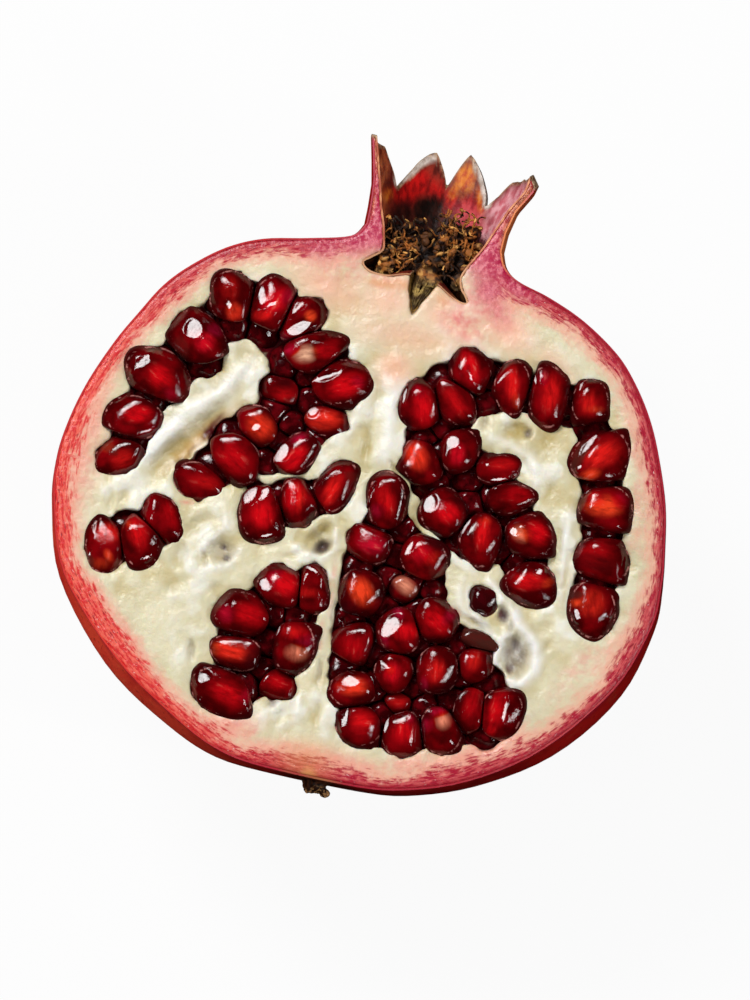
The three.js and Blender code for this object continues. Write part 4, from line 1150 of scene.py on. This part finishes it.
def aril(seed):
    """One seed: a rounded form, pressed flat by its neighbours and a little by the knife."""
    _, _, length, width, turn, top = seed
    own_painted_glows, own_shines = (own[SEEDS.index(seed)] for own in (OWN_PAINTED_GLOWS, OWN_SHINES))
    middle = seed_middle(seed)
    presses = []
    for other in SEEDS:
        way = seed_middle(other) - middle
        distance = np.linalg.norm(way)
        if other is seed or distance > NEIGHBOURS_WITHIN:
            continue
        way /= distance
        mine, theirs = reach_towards(seed, way), reach_towards(other, way)
        if distance < mine + theirs + TOUCHING:
            presses.append((way, distance * mine / (mine + theirs) - PRESS_GAP))
    neighbours = [way for way, _ in presses]
    half = np.array([length / 2, width / 2, width * SEED_DEPTH / 2]) * SEED_FULLNESS
    tilt = math.radians(random.uniform(*CAP_TILT))
    presses.append((leaning(tilt, random.uniform(0, 2 * math.pi)), half[2] * CAP_HEIGHT))
    for k in range(FACETS):
        lean = math.radians(random.uniform(*FACET_LEAN))
        way = leaning(lean, k * 2 * math.pi / FACETS + random.uniform(-FACET_SPREAD, FACET_SPREAD))
        presses.append((way, reach_towards(seed, way) * random.uniform(*FACET_REACH)))
    bpy.ops.object.select_all(action="DESELECT")
    bpy.ops.mesh.primitive_ico_sphere_add(subdivisions=4 if top == DEEP_TOP else 5, radius=1)
    made = bpy.context.object
    made.name = "aril"
    ways = points_of(made)
    ways /= np.linalg.norm(ways, axis=1)[:, None]
    a = math.radians(turn)
    local = np.stack([ways[:, 0] * math.cos(a) + ways[:, 1] * math.sin(a),
                      ways[:, 1] * math.cos(a) - ways[:, 0] * math.sin(a), ways[:, 2]], 1)
    size = (np.abs(local / half) ** SEED_SQUARENESS).sum(1) ** (PRESS_SHARPNESS / SEED_SQUARENESS)
    if neighbours:
        crowded = np.max([eased(ways @ way, 0.35, 0.9) for way in neighbours], axis=0)
        size /= (1 + FILL_TOWARDS_NEIGHBOURS * crowded) ** PRESS_SHARPNESS
    for way, distance in presses:
        size = size + (np.maximum(ways @ way, 0) / max(distance, 0.5)) ** PRESS_SHARPNESS
    radius = size ** (-1 / PRESS_SHARPNESS)
    points = middle + ways * radius[:, None]
    upper = eased(ways[:, 2], 0.1, 0.4)
    for shine in own_shines:
        inside = oval(points, *shine)
        here = points[(inside < 1) & (ways[:, 2] > 0.2)]
        if not len(here):
            continue
        slope = (points[:, :2] - shine[:2]) @ SHINE_FACING[:2] / SHINE_FACING[2]
        points[:, 2] += (here[:, 2].mean() - slope - points[:, 2]) * eased(inside, 1.3, 0.9) * upper
    move_points(made, points)
    # painted glow: where light would come through the juice, a lighter colour is painted
    glow, warmth, weight = np.zeros(len(points)), np.zeros(len(points)), np.full(len(points), 1e-3)
    for *spot, strength, warm in own_painted_glows:
        core = PEACH_CORE if warm > PEACH else HEART_CORE
        share = strength * eased(oval(points, *spot), 1.35, core) * eased(ways[:, 2], -0.6, 0.1)
        glow = np.maximum(glow, share)
        warmth += share * warm
        weight += share
    mark(made, "glow", glow)
    mark(made, "warmth", warmth / weight)
    for name, spots in SHADES.items():
        mark(made, name, spotted(points, spots, 1.15, 0.6))
    mark(made, "lengthwise", local[:, 0] * radius + SEED_SPACING * SEEDS.index(seed))
    mark(made, "crosswise", local[:, 1] * radius)
    mark(made, "edge", oval(points, *seed[:5]))
    mark(made, "deep", np.full(len(points), float(top == DEEP_TOP)))
    activate(made)
    bpy.ops.object.shade_smooth()
    return made


material, tree, shader = new_finish("aril juice")
streaks = speckle(tree, 1.6, 4, shift=1)
wisps = speckle(tree, 3.5, 3, shift=9)
lengthwise = sums(tree, "MULTIPLY", marked(tree, "lengthwise"), 0.35)
grown = put(tree, "CombineXYZ", {0: lengthwise, 1: marked(tree, "crosswise")}).outputs[0]
fibres = noise(tree, grown, 0.9, 4, 0.6)
warmth = put(tree, "MapRange", {"Value": marked(tree, "warmth"), "From Min": -1, "From Max": 2}).outputs[0]
painted_light = put(tree, "ValToRGB", {0: warmth})
stops = painted_light.color_ramp.elements
stops[0].color, stops[1].color = COLDEST_GLOW, WARMEST_GLOW
for place, shade in MIDDLE_GLOWS:
    stops.new(place).color = shade
rim_glint_dots = speckle(tree, 1.2, 5, shift=15, roughness=0.7)
colour = layers(
    tree, (0.055, 0.0004, 0.001),
    ((0.20, 0.001, 0.003), (wisps, 0.35, 0.7)),
    # painted glow, with lighter wisps in it: the light through the juice, painted into the colour
    (painted_light.outputs[0], "glow", (fibres, 0.3, 0.62, (0.5, 1.3)), (streaks, 0.25, 0.6, (0.8, 1.05))),
    ((0.86, 0.22, 0.16), (fibres, 0.58, 0.7), "glow", 0.35),
    # painted shade: darker towards each seed's rim
    ((0.026, 0.0006, 0.0012), ("edge", 0.62, 1, (0, 0.8))),
    # painted highlight: a thin dotted glint line inside each seed's rim
    ((0.56, 0.22, 0.20), ("edge", 0.85, 0.88), ("edge", 0.94, 0.91), (rim_glint_dots, 0.5, 0.62, (0, 0.75))),
    # painted shade: near black at the very rim
    ((0.04, 0.003, 0.003), ("edge", 0.96, 1.08, (0, 0.8))),
    ((0.06, 0.014, 0.010), "browned", (fibres, 0.3, 0.6, (0.7, 1))),
    # painted shade on seeds lying low between others
    ((0.022, 0.0012, 0.002), "darkened"),
    # painted shade: the deeper seeds, low in the gaps, are painted dark
    (layers(tree, (0.035, 0.0005, 0.0015), ((0.14, 0.002, 0.005), (streaks, 0.4, 0.7))), "deep"),
)
tree.links.new(colour, shader.inputs["Base Color"])
shader.inputs["Roughness"].default_value = 0.05
shader.inputs["IOR"].default_value = 1.5
duller = between(tree, marked(tree, "edge"), 0.68, 0.98, (0.5, 0.06))
tree.links.new(duller, shader.inputs["Specular IOR Level"])
roughen(tree, shader, speckle(tree, 0.7, 4, shift=4, roughness=0.62), 0.052)
for name, seeds in CHAMBERS.items():
    bunch = join([aril(seed) for seed in seeds], name + "_dressed")
    bunch.data.materials.append(material)
    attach(bunch, "root")
    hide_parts(name)


# ---- Dead stamens ---------------------------------------------------------------------
# The flower's stamens, dried brown and curled together in the cup, over the crumbled rest
# of the flower. They are brittle threads, and one in three still has its dry anther.
THREADS = 420
THREAD_STEPS = (4, 10)
THREAD_STEP = 0.42
THREAD_WIDTH = 0.36
THREAD_WIDTH_SPREAD = (0.55, 1.25)
THREAD_HEIGHTS = (45, 52.2, 51)  # the lowest, the highest and the usual start of a thread
THREAD_RISE = 0.5
THREAD_BEND = (0.02, 0.4)
THREAD_WAVER = 0.6
ANTHER_EVERY = 3
ANTHER_WIDTH = 0.75
ANTHER_END = 0.6
CLUMPS = [(-2.6, 43.6, 5.8, 4.6), (6.2, 45.4, 3.8, 6.6)]
CUP_MIDDLE_X = 2.4
CUP_ROOM = 0.35
CUP_FLOOR = [(38, -3, 6.4), (39.4, -6, 9.8), (44, -5.8, 9.6)]
CUP_ENDS = (38.6, 52)
NEST = [
    (2.2, 43.6, 46, 13.4, 8, 8, 4), (-2.6, 43.4, 47, 6, 6.4, 7, 60), (7, 43.4, 47, 6, 7, 7, 110),
    (-2.4, 46, 45.4, 6, 5.4, 6, 0), (6.6, 47.4, 46, 5, 6.6, 6.4, 100), (-5.6, 40.3, 51.4, 5.6, 3, 4, 15),
    (8.8, 39.8, 51.4, 5.4, 2.8, 4, 115), (3, 39.4, 49.6, 4.6, 6, 4, 0),
]
NEST_GRID = 0.45
STYLE_FIBRES = 34
STYLE_FIBRE_POINTS = 7
STYLE_REACH = 10
STYLE_SPLAY = 2.2
CRUMBS = 90
CRUMB_SIZES = (0.45, 1.2)


def inside_cup(point):
    """The point, drawn back into the cut cup where it would pass through its wall."""
    y = min(max(point[1], CUP_ENDS[0]), CUP_ENDS[1])
    middle, radius = (v.item() for v in side_at(CUP_FLOOR + CROWN_INSIDE, np.array([y])))
    axis = AXIS_HEIGHT + AXIS_RISE * y
    x, z = point[0] - middle, point[2] - axis
    far, room = math.hypot(x, z), radius - CUP_ROOM
    if far > room:
        x, z = x * room / far, z * room / far
    return np.array([middle + x, y, min(axis + z, CUT_HEIGHT - 0.4)])


def fibre(path, widths):
    """One dry thread through these points, with its width at each."""
    spline = curls.splines.new("POLY")
    spline.points.add(len(path) - 1)
    for bead, place, width in zip(spline.points, path, widths):
        bead.co = (*(place * MM), 1)
        bead.radius = width / THREAD_WIDTH


random.seed(5)
curls = bpy.data.curves.new("stamens", "CURVE")
curls.dimensions = "3D"
curls.bevel_depth = THREAD_WIDTH / 2 * MM
curls.bevel_resolution = 0
curls.use_fill_caps = True
for k in range(THREADS):
    x, y, wide, tall = CLUMPS[k % 2]
    place = np.array([x + random.triangular(-wide, wide, 0), y + random.triangular(-tall, tall, 0),
                      random.triangular(*THREAD_HEIGHTS)])
    heading, bend = random.uniform(0, 2 * math.pi), random.choice((-1, 1)) * random.uniform(*THREAD_BEND)
    rise = random.uniform(-THREAD_RISE, THREAD_RISE)
    path = []
    for i in range(random.randint(*THREAD_STEPS)):
        place = inside_cup(place)
        path.append(place)
        heading += bend + random.uniform(-THREAD_WAVER, THREAD_WAVER)
        place = place + np.array([math.cos(heading), math.sin(heading), rise]) * THREAD_STEP
    widths = [THREAD_WIDTH * random.uniform(*THREAD_WIDTH_SPREAD) for _ in path]
    if k % ANTHER_EVERY == 0:
        widths[-3:] = ANTHER_WIDTH * ANTHER_END, ANTHER_WIDTH, ANTHER_WIDTH * ANTHER_END
    fibre(path, widths)
x, y, turn = STYLE[:3]
way = (math.cos(math.radians(turn)), math.sin(math.radians(turn)))
for _ in range(STYLE_FIBRES):
    share = random.uniform(-1, 1)
    start, end = random.uniform(0.12, 0.45), random.uniform(0.4, 0.95)
    path = []
    for t in np.linspace(start, max(end, start + 0.15), STYLE_FIBRE_POINTS):
        reach = t * STYLE_REACH
        across = share * STYLE_SPLAY * t + random.uniform(-0.15, 0.15)
        path.append(np.array([x + way[0] * reach + way[1] * across, y + way[1] * reach - way[0] * across,
                              CUT_HEIGHT - 0.7 - 0.44 * abs(share) - random.uniform(0, 0.5) - 1.2 * t]))
    fibre(path, [THREAD_WIDTH * random.uniform(0.6, 1.2) for _ in path])
threads = bpy.data.objects.new("threads", curls)
bpy.context.scene.collection.objects.link(threads)
activate(threads)
bpy.ops.object.convert(target="MESH")
threads = bpy.context.object
mark(threads, "nest", np.zeros(len(threads.data.vertices)))
crumbs = []
for _ in range(CRUMBS):
    place = inside_cup((CUP_MIDDLE_X + random.uniform(-8, 7.6), random.triangular(39, 50, 42.6),
                        random.uniform(48, 52.4)))
    size = random.uniform(*CRUMB_SIZES)
    crumb = ball(*place, size * 1.5, size, size * 0.8, random.uniform(0, 180), 2)
    points = points_of(crumb)
    move_points(crumb, points + (grain(points, 0.5, 6) * size * 0.22)[:, None])
    crumbs.append(crumb)
crumbs = join(crumbs, "crumbs")
mark(crumbs, "nest", np.full(len(crumbs.data.vertices), 0.35))
# A dark lump under the threads: partly the crumbled flower, partly painted shade between the threads.
nest = join([ball(*lump, 4) for lump in NEST], "nest")
apply(nest, "REMESH", mode="VOXEL", voxel_size=NEST_GRID * MM)
points = points_of(nest)
points += facings_of(nest) * (grain(points, 1.6, 3) * 0.8 + grain(points, 0.8, 4) * 0.45)[:, None]
points[:, 2] = np.minimum(points[:, 2], CUT_HEIGHT - 1.6 + 0.6 * grain(points, 1, 7))
points = np.array([inside_cup(p) for p in points])
move_points(nest, points)
mark(nest, "nest", eased(points[:, 1], 40.2, 42))
stamens = join([threads, crumbs, nest], "stamens_dressed")
points = points_of(stamens)
# For painted shade: the threads grow darker deeper down in the cup.
deep = eased(CUT_HEIGHT - points[:, 2] + grain(points * (1, 1, 0), 2.6, 5) * 2.2, 0.8, 3.4)
mark(stamens, "deep", deep * eased(points[:, 1], 51, 48.4))
mark(stamens, "style", eased(points[:, 1] + grain(points, 1, 2) * 0.6, 40.6, 39))
activate(stamens)
bpy.ops.object.shade_smooth()
material, tree, shader = new_finish("dry stamens")
shade = speckle(tree, 1.2, 4, shift=3)
colour = layers(
    tree, (0.02, 0.004, 0.001),
    ((0.48, 0.15, 0.024), (shade, 0.38, 0.6)),
    # painted highlight: bright golden flecks on the threads
    ((0.86, 0.42, 0.11), (speckle(tree, 1.4, 2, shift=8), 0.54, 0.64)),
    (layers(tree, (0.10, 0.05, 0.01), ((0.48, 0.32, 0.09), (shade, 0.4, 0.6))), "style"),
    # painted shade deeper in the cup
    ((0.012, 0.004, 0.002), "deep"),
    # the nest: partly the crumbled flower's own brown, partly painted shade
    (layers(tree, (0.006, 0.002, 0.001), ((0.13, 0.045, 0.012), (shade, 0.45, 0.68))), "nest"),
)
tree.links.new(colour, shader.inputs["Base Color"])
shader.inputs["Roughness"].default_value = 0.6
shader.inputs["Specular IOR Level"].default_value = 0.3
roughen(tree, shader, speckle(tree, 0.4, 4), 0.08)
stamens.data.materials.clear()
stamens.data.materials.append(material)
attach(stamens, "root")
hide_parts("stamens")


# ---- Stem stub ------------------------------------------------------------------------
# The stub of the twig that the fruit hung on: dark, woody and knobbly, snapped off short,
# with paler torn wood at its end. It grew out of the fruit's lower end.
STUB = [
    (2, -42.1, 45.6, 5.6, 2.6, 6, 0), (1.9, -43, 45.6, 4, 2.8, 4.4, 0), (1.2, -43.7, 45.9, 1.7, 2.2, 2.4, 70),
    (2.7, -43.5, 45.4, 2.8, 1.8, 3, 150), (3.4, -43.9, 45.6, 2.1, 1.6, 2.6, 140),
    (0.9, -44.2, 46, 1, 1.1, 1.4, 20),
]
STUB_GRID = 0.14
stub = join([ball(*knob) for knob in STUB], "stem_stub_dressed")
apply(stub, "REMESH", mode="VOXEL", voxel_size=STUB_GRID * MM)
apply(stub, "SMOOTH", factor=0.5, iterations=4)
points = points_of(stub)
rough = grain(points * (1, 0.5, 1), 0.7, 1) * 0.28 + grain(points, 0.34, 2) * 0.12
points += facings_of(stub) * rough[:, None]
move_points(stub, points)
mark(stub, "torn", eased(points[:, 1] - points[:, 0] * 0.25 + grain(points, 0.7, 3) * 0.5, -44, -44.8))
activate(stub)
bpy.ops.object.shade_smooth()
material, tree, shader = new_finish("dry stem")
bark = speckle(tree, 0.8, 5, (1, 2, 1))
torn = layers(tree, (0.03, 0.009, 0.003), ((0.60, 0.30, 0.11), (speckle(tree, 0.5, 4, shift=4), 0.46, 0.64)))
colour = layers(tree, (0.006, 0.002, 0.001), ((0.075, 0.02, 0.006), (bark, 0.38, 0.66)), (torn, "torn"))
tree.links.new(colour, shader.inputs["Base Color"])
shader.inputs["Roughness"].default_value = 0.6
shader.inputs["Specular IOR Level"].default_value = 0.3
roughen(tree, shader, speckle(tree, 0.3, 5), 0.1)
stub.data.materials.clear()
stub.data.materials.append(material)
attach(stub, "root")
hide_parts("stem_stub")

size = {"cad": [list(c) for c in cad_box], "visual": [list(c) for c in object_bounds()]}
